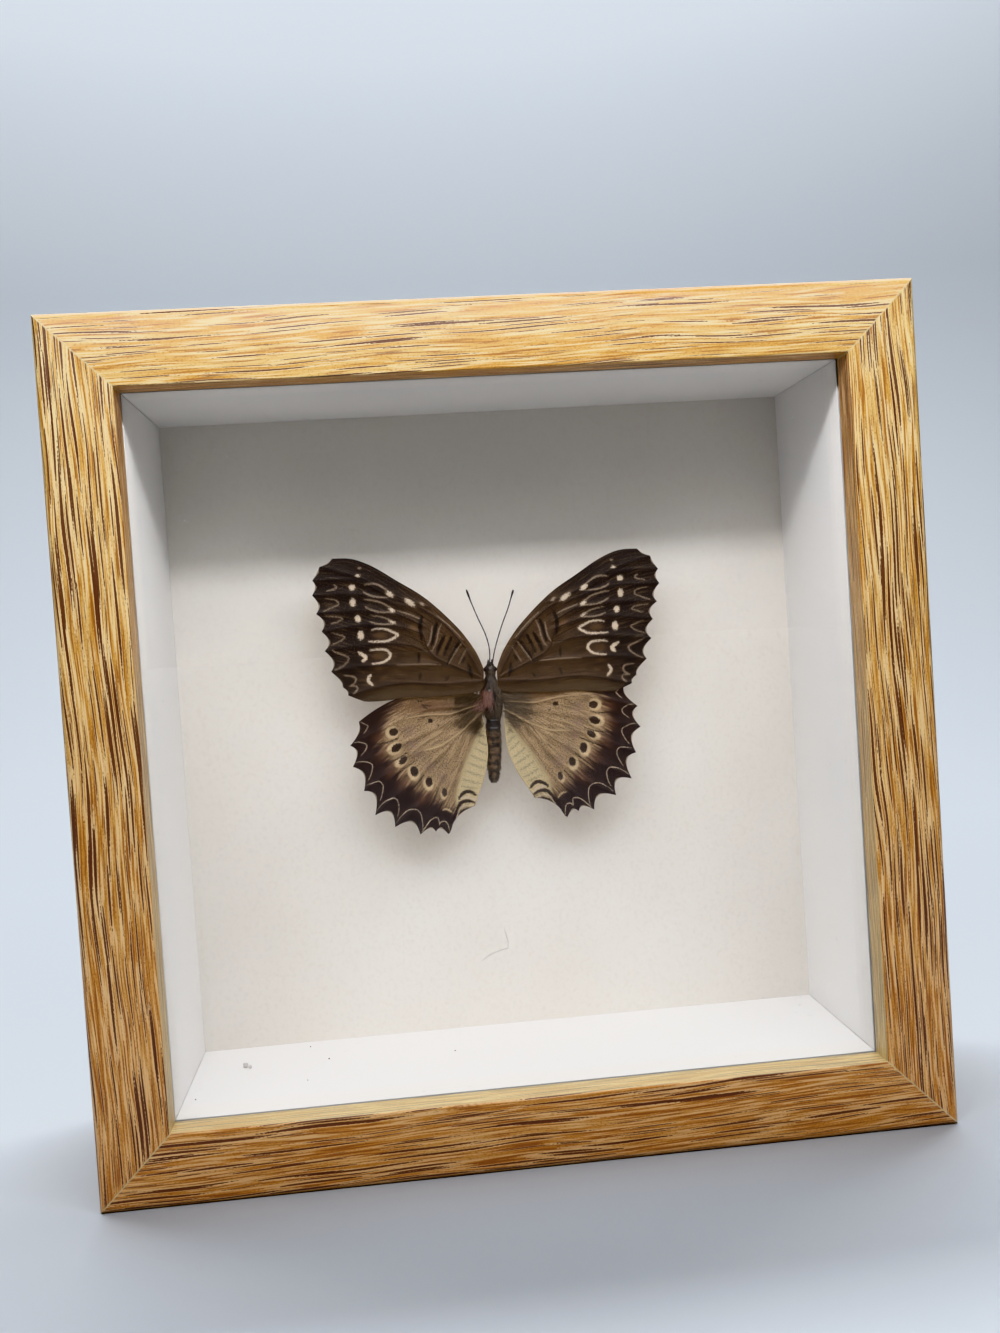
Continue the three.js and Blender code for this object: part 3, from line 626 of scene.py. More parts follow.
def dark_scales(look):
    """Forewing scales: brown at the base, blackish outside, with cream and grey marks and dark veins."""
    made, tree = new_material("dark_wing_scales")
    scales, clouds, rays, ragged = wing_noises(tree)
    outer = add(tree, "Attribute", out="Fac", attribute_name="outer")
    outer = add(tree, "Math", {0: ragged, 1: 0.1, 2: outer}, operation="MULTIPLY_ADD", use_clamp=True)
    brown = add(tree, "Mix", {"Factor": clouds, "A": linear("#382a1e"), "B": look.fore_base},
                data_type="RGBA")
    ground = add(tree, "Mix", {"Factor": outer, "A": brown, "B": look.fore_tip}, data_type="RGBA")
    ground = lay(tree, ground, [
        (rays, 0.52, 0.8, 0.45, linear("#6f5b48")), (rays, 0.46, 0.25, 0.6, linear("#171010")),
        (scales, 0.55, 0.8, 0.35, linear("#806c57")), (scales, 0.42, 0.2, 0.5, linear("#120c0b"))])
    ground = lay_marks(tree, ground, ragged, [
        ("strip", "#635644", 0.9, 0.7, 0.38), ("tan", "#6d543c", 0.5, 0.4, 0.6),
        ("vein", "#181110", 0.16, 0.1, 0.65), ("ink", "#110b0a", 0.2, 0.2, 0.92),
        ("cream", "#6f5949", 0.65, 0.4, 0.55), ("pale", "#5e4d40", 0.45, 0.3, 0.4),
        ("pale", "#a08d79", 0.13, 0.22, 0.65), ("cream", look.cream, 0.15, 0.25, 0.92),
        ("fringe", "#b5a593", 0.1, 0.1, 0.7)])
    ground = lay(tree, ground, [(scales, 0.44, 0.22, 0.45, linear("#241915"))])
    return wing_shader(made, ground, scales)


def tawny_scales(look):
    """Hindwing scales: tan dusted with dark, a dark scalloped border whose inner edge runs out in rays,
    ringed eyespots, and a pale inner strip with slanting grey bars."""
    made, tree = new_material("tawny_wing_scales")
    scales, clouds, rays, ragged = wing_noises(tree)
    streaked = add(tree, "MapRange", {"Value": rays, "From Min": 0.25, "From Max": 0.75, "To Min": -1,
                                      "To Max": 1})
    ground = add(tree, "Mix", {"Factor": clouds, "A": linear("#7d684e"), "B": look.hind_ground},
                 data_type="RGBA")
    ground = lay(tree, ground, [
        (rays, 0.5, 0.8, 0.5, linear("#bba17d")), (rays, 0.47, 0.2, 0.7, linear("#4d3f30")),
        (scales, 0.55, 0.85, 0.5, linear("#c9b08c")), (scales, 0.47, 0.2, 0.75, linear("#43362a"))])
    ground = lay_marks(tree, ground, ragged, [
        ("costa", "#664a34", 1.6, 0.8, 0.8), ("base", "#3a322a", 5.2, 1.2, 0.85),
        ("violet", "#7a645b", 1, 0.5, 0.5), ("strip", "#c9b893", 0.4, 0.3, 0.75),
        ("bar", "#7f7968", 0.25, 0.25, 0.6)])
    ground = lay_marks(tree, ground, streaked, [
        ("band", "#553d30", 1.5, 1.6, 0.85), ("rim", look.hind_band, 1.1, 1.3, 0.93)])
    ground = lay_marks(tree, ground, ragged, [
        ("rust", "#6b4c3a", 0.9, 0.7, 0.55), ("vein", "#bda582", 0.12, 0.1, 0.65),
        ("halo", "#c3ac8a", 0.22, 0.24, 0.85), ("ink", "#2c1a15", 0.16, 0.14, 0.95),
        ("white", "#c2b099", 0.09, 0.1, 0.85), ("fringe", "#c2b19b", 0.1, 0.1, 0.75)])
    ground = lay(tree, ground, [(scales, 0.44, 0.22, 0.4, linear("#2a1d18"))])
    return wing_shader(made, ground, scales)


def insect_cuticle():
    """Dried body: dark chitin under scales and down, with a rosy patch on one side of the thorax and dark
    seams and two pale crescents on the abdomen."""
    made, tree = new_material("insect_cuticle")
    scales, mottle = mottles(tree, (0.5, 3), (1.1, 2))
    patchy = add(tree, "MapRange", {"Value": mottle, "From Min": 0.38, "From Max": 0.62})
    colour, brown, pink = (
        add(tree, "Mix", {"Factor": share, "A": linear(dark), "B": linear(light)}, data_type="RGBA")
        for share, dark, light in ((scales, "#100d0f", "#3d3332"), (patchy, "#2c1f1a", "#7d654c"),
                                   (scales, "#5d423b", "#b08878")))
    for field, strength, shade in (("tawny", 1, brown), ("seam", 0.85, linear("#150f0e")),
                                   ("crescent", 0.8, linear("#9aa0a6")), ("rosy", 1, pink)):
        share = add(tree, "Attribute", out="Fac", attribute_name=field)
        colour = lay(tree, colour, [(share, 0, 1, strength, shade)])
    return surfaced(made, {"Base Color": colour, "Roughness": 0.5, "IOR": 1.56}, (scales, 0.5, 0.12))


def insect_down():
    """Hairs of the body and the wing bases: each has its own tint from dark to tawny, some are rosy."""
    made, tree = new_material("insect_down")
    tint = add(tree, "Attribute", out="Fac", attribute_name="tint")
    rosy = add(tree, "Attribute", out="Fac", attribute_name="rosy")
    brown, pink = (add(tree, "Mix", {"Factor": tint, "A": linear(dark), "B": linear(light)}, data_type="RGBA")
                   for dark, light in (("#241c19", "#8a7862"), ("#5f443d", "#b8968a")))
    colour = add(tree, "Mix", {"Factor": rosy, "A": brown, "B": pink}, data_type="RGBA")
    return surfaced(made, {"Base Color": colour, "Roughness": 0.55, "IOR": 1.55})


def studio_floor(look):
    """Matt studio paper: pale, with a very faint cloudiness half a metre across."""
    made, tree = new_material("studio_paper")
    [cloud] = mottles(tree, (500, 2))
    colour = lay(tree, look.floor, [(cloud, 0, 1, 0.08, linear("#aab2bb"))])
    return surfaced(made, {"Base Color": colour, "Roughness": 0.85})


def grid_faces(rows, columns, wrap=False):
    """Faces of a grid of points numbered row by row; wrap joins the last column to the first."""
    number = np.arange(rows * columns).reshape(rows, columns)
    if wrap:
        number = np.hstack([number, number[:, :1]])
    return np.stack([number[:-1, :-1], number[:-1, 1:], number[1:, 1:], number[1:, :-1]], -1).reshape(-1, 4)


def tube_faces(rings, sides):
    """Faces of rings of points numbered ring by ring, closed by a face at each end."""
    ends = [list(range(sides)), list(range((rings - 1) * sides, rings * sides))]
    return grid_faces(rings, sides, wrap=True).tolist() + ends


def joined(parts):
    """Several meshes, each its points and faces, as one."""
    points, faces = [], []
    for part_points, part_faces in parts:
        first = sum(len(p) for p in points)
        points.append(part_points)
        faces += [[first + corner for corner in face] for face in part_faces]
    return np.vstack(points), faces


def unit(vectors):
    """Each vector at a length of 1."""
    return vectors / np.linalg.norm(vectors, axis=1, keepdims=True)


def eased(value, low, high):
    """0 below low and 1 above high, with a smooth step between."""
    share = np.clip((value - low) / (high - low), 0, 1)
    return share * share * (3 - 2 * share)


def new_piece(name, points, faces, finish, maps=None, fields=None, closed=True):
    """A mesh of points in metres with one material, UV maps and point attributes, which rides on the frame.
    A closed one has its faces turned outwards."""
    mesh = bpy.data.meshes.new(name)
    mesh.from_pydata(points.tolist(), [], faces)
    corners = np.empty(len(mesh.loops), np.int32)
    mesh.loops.foreach_get("vertex_index", corners)
    for layer, places in (maps or {}).items():
        mesh.uv_layers.new(name=layer).uv.foreach_set("vector", places[corners].astype(np.float32).ravel())
    for field, values in (fields or {}).items():
        stored = mesh.attributes.new(field, "FLOAT", "POINT")
        stored.data.foreach_set("value", values.astype(np.float32).ravel())
    if closed:
        shell = bmesh.new()
        shell.from_mesh(mesh)
        bmesh.ops.recalc_face_normals(shell, faces=shell.faces)
        shell.to_mesh(mesh)
        shell.free()
    mesh.shade_smooth()
    mesh.set_sharp_from_angle(angle=SHARP_EDGE)
    mesh.materials.append(finish)
    made = bpy.data.objects.new(name, mesh)
    bpy.context.scene.collection.objects.link(made)
    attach(made, "root")
    return made


def arc(centre, radius, start, end, steps=6):
    """Points of a circle about centre from one angle to another, in degrees."""
    angle = np.radians(np.linspace(start, end, steps))
    return np.stack([centre[0] + radius * np.cos(angle), centre[1] + radius * np.sin(angle)], -1)


def mitred_length(name, profile, half, side, gap, finish):
    """A length of moulding. Each point of its profile, given as distances inwards and backwards from the
    outer front edge, is carried along the side to a mitre, where it ends short by its own distance inwards;
    the length is then turned a quarter round the frame for each side."""
    inwards, backwards = np.asarray(profile).T
    reach = half - inwards - gap
    along = np.stack([-reach, reach])
    away = np.broadcast_to(half - inwards, along.shape)
    quarter = SIDES.index(side)
    turn = -math.pi / 2 * quarter
    x = along * math.cos(turn) - away * math.sin(turn)
    z = MIDDLE + along * math.sin(turn) + away * math.cos(turn)
    y = np.broadcast_to(FRONT + backwards, along.shape)
    steps = np.linalg.norm(np.diff(profile, axis=0, append=profile[:1]), axis=1)
    round_it = np.broadcast_to(np.cumsum(steps) - steps, along.shape)
    uv = np.stack([along + PRINT_SHIFT[0] * quarter, round_it + PRINT_SHIFT[1] * quarter], -1)
    low = np.interp(z, (MIDDLE - half, MIDDLE + half), (1, 0))
    lip = np.broadcast_to(inwards > inwards.max() - LIP_BAND, z.shape)
    # The second attribute is painted shade, darker low on the face and high inside the lip; the third is a
    # painted highlight, pale low inside the lip.
    fields = {"dense": np.full(z.shape, GRAIN[side]), "ruddy": np.where(lip, 1 - low, low), "lip": lip * low}
    points = np.stack([x, y, z], -1).reshape(-1, 3)
    faces = tube_faces(2, len(inwards))
    return new_piece(name, points, faces, finish, {"pattern": uv.reshape(-1, 2)}, fields)


def smooth_path(points, steps):
    """A curve through the points, with that many steps a span: the cubic whose slope at each point is half
    the step from the point before to the point after."""
    points = np.asarray(points, float)
    ends = np.vstack([points[:1], points, points[-1:]])
    before, start, end, after = (ends[i:i + len(points) - 1, None] for i in range(4))
    t = np.linspace(0, 1, steps, endpoint=False)[None, :, None]
    curve = start + 0.5 * t * (end - before + t * (2 * before - 5 * start + 4 * end - after
                                                   + t * (3 * (start - end) + after - before)))
    return np.vstack([curve.reshape(-1, points.shape[1]), points[-1:]])


def even_path(points, count):
    """The curve through the points, at that many even steps of its length."""
    path = smooth_path(points, 12)
    run = np.concatenate([[0], np.cumsum(np.linalg.norm(np.diff(path, axis=0), axis=1))])
    at = np.linspace(0, run[-1], count)
    return np.stack([np.interp(at, run, values) for values in path.T], -1)


def scalloped_margin(start, steps, count):
    """A wing's outer edge: from tooth to tooth a parabola through the bottom of the hollow between them."""
    t = np.linspace(0, 1, count, endpoint=False)[:, None]
    edge = []
    for hollow, tooth in steps:
        start, hollow, tooth = (np.asarray(point, float) for point in (start, hollow, tooth))
        pull = 2 * hollow - (start + tooth) / 2
        edge.append((1 - t) ** 2 * start + 2 * t * (1 - t) * pull + t ** 2 * tooth)
        start = tooth
    return np.vstack([*edge, start[None]])


def wing_sheet(outline, span, per_scallop):
    """A wing as a grid between its four edges: the surface ruled from trailing to leading edge, plus the one
    ruled from root to margin, less the flat one through the corners. Gives points in mm, with rows from root
    to margin, and each point's distance to the margin and place between two teeth."""
    margin = scalloped_margin(outline["leading"][-1], outline["margin"], per_scallop)[::-1]
    leading = even_path(outline["leading"], span)
    trailing = even_path([outline["margin"][-1][1], *outline["trailing"]], span)[::-1]
    s = np.linspace(0, 1, span)[:, None, None]
    t = np.linspace(0, 1, len(margin))[:, None]
    root, tip = ((1 - t) * trailing[end] + t * leading[end] for end in (0, -1))
    across = (1 - t) * trailing[:, None] + t * leading[:, None]
    outwards = (1 - s) * root + s * margin
    flat = (1 - s) * root + s * tip
    sheet = across + outwards - flat
    steps = np.linalg.norm(np.diff(sheet[::-1], axis=0), axis=2)
    to_margin = np.vstack([np.zeros((1, len(margin))), np.cumsum(steps, axis=0)])[::-1]
    between = np.arange(len(margin)) / per_scallop % 1
    return sheet, to_margin, np.broadcast_to(between, to_margin.shape)


def line_distance(places, width, points):
    """Signed distance in mm from each place to a brush line, which thins to a third at both ends."""
    path = smooth_path(points, 6)
    start, step = path[:-1], np.diff(path, axis=0)
    offset = places[:, None] - start
    share = np.clip((offset * step).sum(2) / (step ** 2).sum(1), 0, 1)
    away = np.linalg.norm(offset - share[..., None] * step, axis=2)
    along = (np.arange(len(step)) + share) / len(step)
    half = width / 2 * (0.34 + 0.66 * np.sin(math.pi * along) ** 0.5)
    return (away - half).min(1)


def spot_distance(places, u, v, width, height, tilt):
    """Signed distance in mm from each place to an oval, scaled by its shorter half."""
    turn = math.radians(tilt)
    du, dv = (places - (u, v)).T
    long_way = (du * math.cos(turn) + dv * math.sin(turn)) / (width / 2)
    short_way = (dv * math.cos(turn) - du * math.sin(turn)) / (height / 2)
    return (np.hypot(long_way, short_way) - 1) * min(width, height) / 2


def mark_distance(places, spots=(), lines=()):
    """Signed distance in mm from each place to the nearest of a group of marks."""
    spots = [spot_distance(places, *spot) for spot in spots]
    lines = [line_distance(places, width, points) for width, *points in lines]
    return np.minimum.reduce(spots + lines)


def fringe_distance(to_margin, between, widest):
    """Signed distance in mm to the pale fringe, which is widest in the hollow between two teeth."""
    return to_margin - widest * np.sin(math.pi * between) ** 2 + 0.1


def vein_relief(vein, sag, reach):
    """Relief in mm about a vein: it stands up, and the skin sags to its full depth at that reach from it."""
    return 0.12 * np.exp(-(vein / 0.3) ** 2) - sag * eased(vein, 0.2, reach)


def forewing_fields(places, to_margin, between):
    """Point attributes of a forewing, and its relief in mm, with one broad wave across the wing."""
    u, v = places.T
    fields = {name: mark_distance(places, **marks) for name, marks in FOREWING_MARKS.items()}
    fields["outer"] = eased(0.9 * u + 0.45 * v, 19, 34)
    fields["strip"] = v - np.interp(u, *np.transpose(TRAILING_STRIP))
    fields["fringe"] = fringe_distance(to_margin, between, 0.42)
    return fields, vein_relief(fields["vein"], 0.12, 1.6) + 0.25 * np.sin(u / 6) * eased(u, 4, 20)


def polar(places):
    """Angle and radius about the point that the hindwing's dark band runs round."""
    du, dv = (places - BAND_CENTRE).T
    return np.arctan2(dv, du), np.hypot(du, dv)


def hindwing_fields(places, to_margin, between):
    """Point attributes of a hindwing, and its relief in mm, with the inner strip folded back."""
    u, v = places.T
    fields = {name: mark_distance(places, **marks) for name, marks in HINDWING_MARKS.items()}
    edge_angle, edge_radius = polar(np.asarray(BAND_EDGE, float))
    angle, radius = polar(places)
    order = np.argsort(edge_angle)
    fields["band"] = np.interp(angle, edge_angle[order], edge_radius[order]) - radius
    fields["rim"] = fields["band"] + 1.5
    strip_u, strip_v = np.transpose(INNER_STRIP)
    fields["strip"] = u - np.interp(-v, -strip_v, strip_u)
    fields["costa"] = np.hypot((u - 14) / 8, (v + 1.6) / 2) * 2 - 2
    fields["base"] = np.hypot(u - 2, v + 1) - 6
    fields["fringe"] = fringe_distance(to_margin, between, 0.4)
    ridge = np.minimum(fields.pop("ridge"), fields["vein"])
    return fields, vein_relief(ridge, 0.14, 1.8) - 0.3 * eased(fields["strip"], 0.5, -1.5)


def in_frame(points, look):
    """Points of the butterfly in mm (right, backwards, towards the head) as metres in the frame: leant, then
    set at its place in front of the card."""
    x, y, z = points.T
    cos, sin = math.cos(look.lean), math.sin(look.lean)
    leant = np.stack([x * cos + z * sin, y, z * cos - x * sin], -1) * MM
    return leant + (look.across, FRONT + look.plane, look.height)


def on_wing(places, lift, sweep, side, back, look):
    """Places on a wing in mm, lifted off it towards the glass, as points of the butterfly: swept towards the
    head, raised by the dihedral, and mirrored for the left side."""
    u, v = places.T
    x = u * math.cos(sweep) - v * math.sin(sweep)
    z = u * math.sin(sweep) + v * math.cos(sweep)
    cos, sin = math.cos(look.dihedral), math.sin(look.dihedral)
    return np.stack([side * (x * cos - lift * sin), back - x * sin - lift * cos, z], -1)


def tube(path, radius, sides=10):
    """A tube along a path: at each of its points a ring of that radius square to it, closed at both ends."""
    path, radius = np.asarray(path, float), np.broadcast_to(radius, len(path))[:, None, None]
    ahead = unit(np.gradient(path, axis=0))
    across = unit(np.cross(ahead, (0.3, 1, 0.2)))
    up = np.cross(ahead, across)
    angle = np.linspace(0, 2 * math.pi, sides, endpoint=False)[None, :, None]
    rings = path[:, None] + radius * (np.cos(angle) * across[:, None] + np.sin(angle) * up[:, None])
    return rings.reshape(-1, 3), tube_faces(len(path), sides)


def abdomen_seams(z, sharpness):
    """1 at the seams between the rings of the abdomen, falling to 0 between them as a power of a cosine."""
    share = np.clip((z - ABDOMEN["from"]) / (ABDOMEN["to"] - ABDOMEN["from"]), 0, 1)
    return np.abs(np.cos(math.pi * ABDOMEN["rings"] * share)) ** sharpness * (share > 0)


def trunk_rings():
    """Head, thorax and abdomen as one surface: ovals whose middle and half sizes follow smooth curves along
    the body, pinched between the rings of the abdomen."""
    path = smooth_path(TRUNK, 14)
    at = np.linspace(0, len(path) - 1, TRUNK_ROWS)
    z, x, y, width, depth = (np.interp(at, np.arange(len(path)), values)[:, None] for values in path.T)
    pinch = 1 - ABDOMEN["groove"] * abdomen_seams(z, 6)
    angle = np.linspace(0, 2 * math.pi, TRUNK_SIDES, endpoint=False)
    return np.stack([x + width * pinch * np.sin(angle), y - depth * pinch * np.cos(angle),
                     np.broadcast_to(z, (TRUNK_ROWS, TRUNK_SIDES))], -1)


def head_parts(side):
    """An eye, which is a tube that swells and shrinks as a half wave, and a palp that tapers."""
    steps = 9
    rise = np.linspace(*EYE["rise"], steps)
    eye = np.stack([np.full(steps, side * EYE["across"]), np.full(steps, EYE["back"]), rise], -1)
    swell = np.sin(np.linspace(0.12, math.pi - 0.12, steps))
    palp = smooth_path(np.asarray(PALP) * (side, 1, 1), 6)
    return [tube(eye, EYE["radius"] * swell, 16), tube(palp, np.linspace(0.34, 0.12, len(palp)))]


def antenna(points):
    """A beaded stalk that swells to a club near its end and tapers at its tip."""
    stalk = smooth_path(points, 10)
    along = np.linspace(0, 1, len(stalk))
    club = 0.13 * eased(along, 0.82, 0.95) * (1 - 0.8 * eased(along, 0.94, 1))
    return tube(stalk, 0.13 + 0.012 * np.cos(90 * along) + club)


def leg(points, side):
    """A folded leg, which tapers to its foot."""
    path = smooth_path(np.asarray(points) * (side, 1, 1), 10)
    return tube(path, np.linspace(0.26, 0.1, len(path)), 8)


def body_fields(points):
    """Point attributes of the body, each a product of smooth steps along it and across it."""
    x, y, z = points.T
    rosy_stretch = eased(ROSY["front"] - z, 0, 0.7) * eased(z - ROSY["rear"], 0, 0.8)
    crescents = sum(np.exp(-((z - middle) / 0.13) ** 2) for middle in ABDOMEN["crescents"])
    return {
        "rosy": eased(ROSY["right"] - x, 0, 0.7) * rosy_stretch,
        "tawny": eased(-6.5 - z, 0, 3),
        "seam": abdomen_seams(z, 8),
        "crescent": crescents * eased(2.6 - y, 0, 0.5) * eased(1.2 - np.abs(x - 0.7), 0, 0.5),
    }


def spikes(roots, leads, lengths, widths, bend):
    """Hairs as one mesh: each is a three-sided spike of two joints that leaves its root along its lead and
    droops by the bend."""
    leads = unit(leads)
    side = unit(np.cross(leads, (0.2, 0.9, 0.4)))
    other = np.cross(leads, side)
    knee = roots + leads * lengths[:, None] * 0.5
    tip = roots + (leads + bend) * lengths[:, None]
    angle = np.radians([0, 120, 240])[None, :, None]
    ring = np.cos(angle) * side[:, None] + np.sin(angle) * other[:, None]
    base = roots[:, None] + ring * widths[:, None, None] / 2
    middle = knee[:, None] + ring * widths[:, None, None] * 0.4
    points = np.concatenate([base, middle, tip[:, None]], axis=1)
    first = np.arange(len(roots))[:, None] * HAIR_POINTS
    skin = [(0, 1, 4, 3), (1, 2, 5, 4), (2, 0, 3, 5)]
    ends = [(3, 4, 6), (4, 5, 6), (5, 3, 6), (2, 1, 0)]
    faces = [face for corners in skin + ends for face in (first + corners).tolist()]
    return points.reshape(-1, 3), faces


def body_hairs(draw):
    """Hairs of the trunk, swept backwards and longest on the thorax, each with a share of rosy and a tint."""
    rings = trunk_rings()
    count = BODY_HAIRS
    row = draw.integers(BALD_ENDS, TRUNK_ROWS - BALD_ENDS, count)
    column = draw.integers(0, TRUNK_SIDES, count)
    roots = rings[row, column]
    x, _, z = roots.T
    on_thorax = eased(z, -4.5, -3) * eased(5 - z, 0, 1)
    leads = unit(roots - rings.mean(1)[row]) * 0.45 + (0, 0, -1) + draw.normal(0, 0.28, (count, 3))
    lengths = (0.5 + 1.3 * on_thorax) * draw.uniform(0.6, 1.3, count)
    rosy = (x < ROSY["right"]) * eased(ROSY["front"] - z, 0, 0.6) * eased(z - ROSY["rear"], 0, 0.8)
    tint = draw.beta(1.3, 2.6, count)
    widths = draw.uniform(0.05, 0.1, count)
    return spikes(roots, leads, lengths, widths, np.array((0, 0.12, -0.15))), rosy, tint


def wing_hairs(draw, side, sweep, look):
    """Hairs at the root of a hindwing, thinning out over it, each with a share of rosy and a tint."""
    back = look.hind_drop / MM
    places = np.stack([draw.uniform(1.8, 8.5, WING_HAIRS), draw.uniform(-9, 0.6, WING_HAIRS)], -1)
    from_root = np.hypot(*(places - (2, -1)).T)
    places = places[draw.uniform(0, 1, WING_HAIRS) < eased(9.5 - from_root, 0, 7)]
    count = len(places)
    reach = draw.uniform(0.8, 2.2, (count, 1))
    tips = places + reach * ((0.75, -0.5) + draw.normal(0, 0.22, (count, 2)))
    start = on_wing(places, np.full(count, -0.05), sweep, side, back, look)
    lead = on_wing(tips, draw.uniform(0.1, 0.5, count), sweep, side, back, look) - start
    widths = draw.uniform(0.06, 0.11, count)
    rosy = (side < 0) * (np.hypot(*(places - (2.4, -1.6)).T) < 1.5) * 1.0
    hairs = spikes(start, lead, np.linalg.norm(lead, axis=1), widths, np.zeros(3))
    return hairs, rosy, draw.beta(1.6, 2, count)


def flecks(places, rings=5, sides=8):
    """Specks of dust as one mesh: each an oval bead about its place, whose radius swells and shrinks a little
    round it, wider than deep."""
    across, backwards, up, size = np.transpose(places)
    centres = np.stack([across * MM, FRONT + backwards * MM, MIDDLE + up * MM], -1)
    tilt = np.linspace(0.1, math.pi - 0.1, rings)[:, None]
    angle = np.linspace(0, 2 * math.pi, sides, endpoint=False)[None]
    lump = 1 + 0.3 * np.sin(2 * angle + 3 * tilt)
    bead = np.stack([lump * np.sin(tilt) * np.cos(angle), 0.4 * np.sin(tilt) * np.sin(angle),
                     0.7 * lump * np.cos(tilt) * np.ones_like(angle)], -1).reshape(-1, 3)
    beads = centres[:, None] + bead * (size / 2 * MM)[:, None, None]
    return joined([(points, tube_faces(rings, sides)) for points in beads])


def area_light(scene, name, size, energy, place, turn, code):
    """A rectangular lamp of that size and colour at a place, turned from straight down towards the back."""
    lamp = bpy.data.lights.new(name, "AREA")
    lamp.shape = "RECTANGLE"
    lamp.size, lamp.size_y = size
    lamp.energy = energy
    lamp.color = linear(code)[:3]
    made = bpy.data.objects.new(name, lamp)
    made.location = place
    made.rotation_euler = (math.radians(turn), 0, 0)
    scene.collection.objects.link(made)
    return made


def gathered(scene, name, wanted):
    """A collection of the scene's pieces whose names are wanted, for a light to be linked to."""
    made = bpy.data.collections.new(name)
    for piece in scene.objects:
        if wanted(piece.name):
            made.objects.link(piece)
    return made


def add_floor(scene, look):
    """A floor that bends up into a backdrop: its profile, carried straight across."""
    bend, radius = SWEEP["bend"], SWEEP["radius"]
    profile = np.vstack([[(SWEEP["front"], 0), (bend, 0)], arc((bend, radius), radius, -90, 0, 14),
                         [(bend + radius, SWEEP["height"])]])
    sides = (-SWEEP["half_width"], SWEEP["half_width"])
    points = np.vstack([np.insert(profile, 0, x, axis=1) for x in sides])
    mesh = bpy.data.meshes.new("studio_sweep")
    mesh.from_pydata(points.tolist(), [], grid_faces(2, len(profile))[:, ::-1].tolist())
    mesh.shade_smooth()
    mesh.materials.append(studio_floor(look))
    floor = bpy.data.objects.new("studio_sweep", mesh)
    scene.collection.objects.link(floor)


def add_lights(scene, look):
    """A strip of light in two parts, soft lights on the rails and the backdrop, and an even fill."""
    rise = math.radians(KEY["rise"])
    edge = Vector((0, FRONT, MIDDLE + HALF - scene.specimen_frame.face_width))
    above = edge + KEY["away"] * Vector((0, -math.cos(rise), math.sin(rise)))
    box = gathered(scene, "box_shadows", lambda name: not name.startswith(BUTTERFLY))
    rails = gathered(scene, "rails_alone", lambda name: name.startswith("oak_rail"))
    size, turn, stopped = KEY["size"], KEY["turn"], KEY["stopped"]
    area_light(scene, "key_strip", size, stopped * look.key, above, turn, "#dcecff")
    # Thin wings let warm light through: this part of the key isn't stopped by the butterfly.
    warm = area_light(scene, "key_through_wings", size, (1 - stopped) * look.key, above, turn, "#fff5ec")
    warm.light_linking.blocker_collection = box
    soft = area_light(scene, "rail_light", (0.5, 0.2), look.rails, (0, -0.6, 0.6), 48, "#fff3e6")
    soft.light_linking.receiver_collection = rails
    area_light(scene, "backdrop_wash", (1.6, 0.25), look.wash, (0, 0.36, 1.25), 8, "#ffffff")
    world = bpy.data.worlds.new("studio")
    world.use_nodes = True
    world.node_tree.nodes.clear()
    sky = add(world.node_tree, "Background", {"Color": linear("#f0c48c"), "Strength": look.fill})
    add(world.node_tree, "OutputWorld", {"Surface": sky})
    scene.world = world


def add_camera(scene):
    """The camera at its place, turned so that its own axes lie as given."""
    lens = bpy.data.cameras.new("camera")
    lens.sensor_width = CAMERA["sensor"]
    lens.lens = CAMERA["lens"]
    lens.clip_start = CAMERA["near"]
    camera = bpy.data.objects.new("camera", lens)
    turned = Matrix((CAMERA["right"], CAMERA["up"], CAMERA["back"])).transposed().to_4x4()
    camera.matrix_world = Matrix.Translation(CAMERA["place"]) @ turned
    scene.collection.objects.link(camera)
    scene.camera = camera


def assign(node, finish):
    """Puts a material on a CAD node in place of its own."""
    mesh = frame["nodes"][node].data
    mesh.materials.clear()
    mesh.materials.append(finish)


class SPECIMEN_OT_rails(bpy.types.Operator):
    """Four mitred rails with a lip in front, wrapped in oak foil"""

    bl_idname = "specimen.rails"
    bl_label = "Rails"

    def execute(self, context):
        look = context.scene.specimen_frame
        inner = look.face_width - look.inner_ease
        profile = np.vstack([
            arc((look.outer_ease, look.outer_ease), look.outer_ease, 180, 270),
            arc((inner, look.inner_ease), look.inner_ease, 270, 360),
            [(look.face_width, look.lip_depth), (look.wall, look.lip_depth), (look.wall, look.depth)],
            [(REAR_CHAMFER, look.depth), (0, look.depth - REAR_CHAMFER)],
        ])
        finish = oak_foil(look)
        for side in SIDES:
            rail = mitred_length("oak_rail_" + side, profile, HALF, side, RAIL_GAP, finish)
            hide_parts("rail_" + side)
        return {"FINISHED"}


class SPECIMEN_OT_lining(bpy.types.Operator):
    """Four mitred white strips that line the box between the glass and the card"""

    bl_idname = "specimen.lining"
    bl_label = "Lining"

    def execute(self, context):
        look = context.scene.specimen_frame
        finish = white_board(look)
        outside = SPACER[1].x
        # Flush with the lip, so that no unlit edge shows beside it.
        inner = look.face_width - (HALF - outside) - LINING_EDGE
        front, back = SPACER[0].y - FRONT, SPACER[1].y - FRONT
        rounded = arc((inner - LINING_EDGE, front + LINING_EDGE), LINING_EDGE, 270, 360, 4)
        profile = np.vstack([[(0, front)], rounded, [(inner, back), (0, back)]])
        for side in SIDES:
            strip = mitred_length("lining_" + side, profile, outside, side, LINING_GAP, finish)
            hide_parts("spacer_" + side)
        return {"FINISHED"}


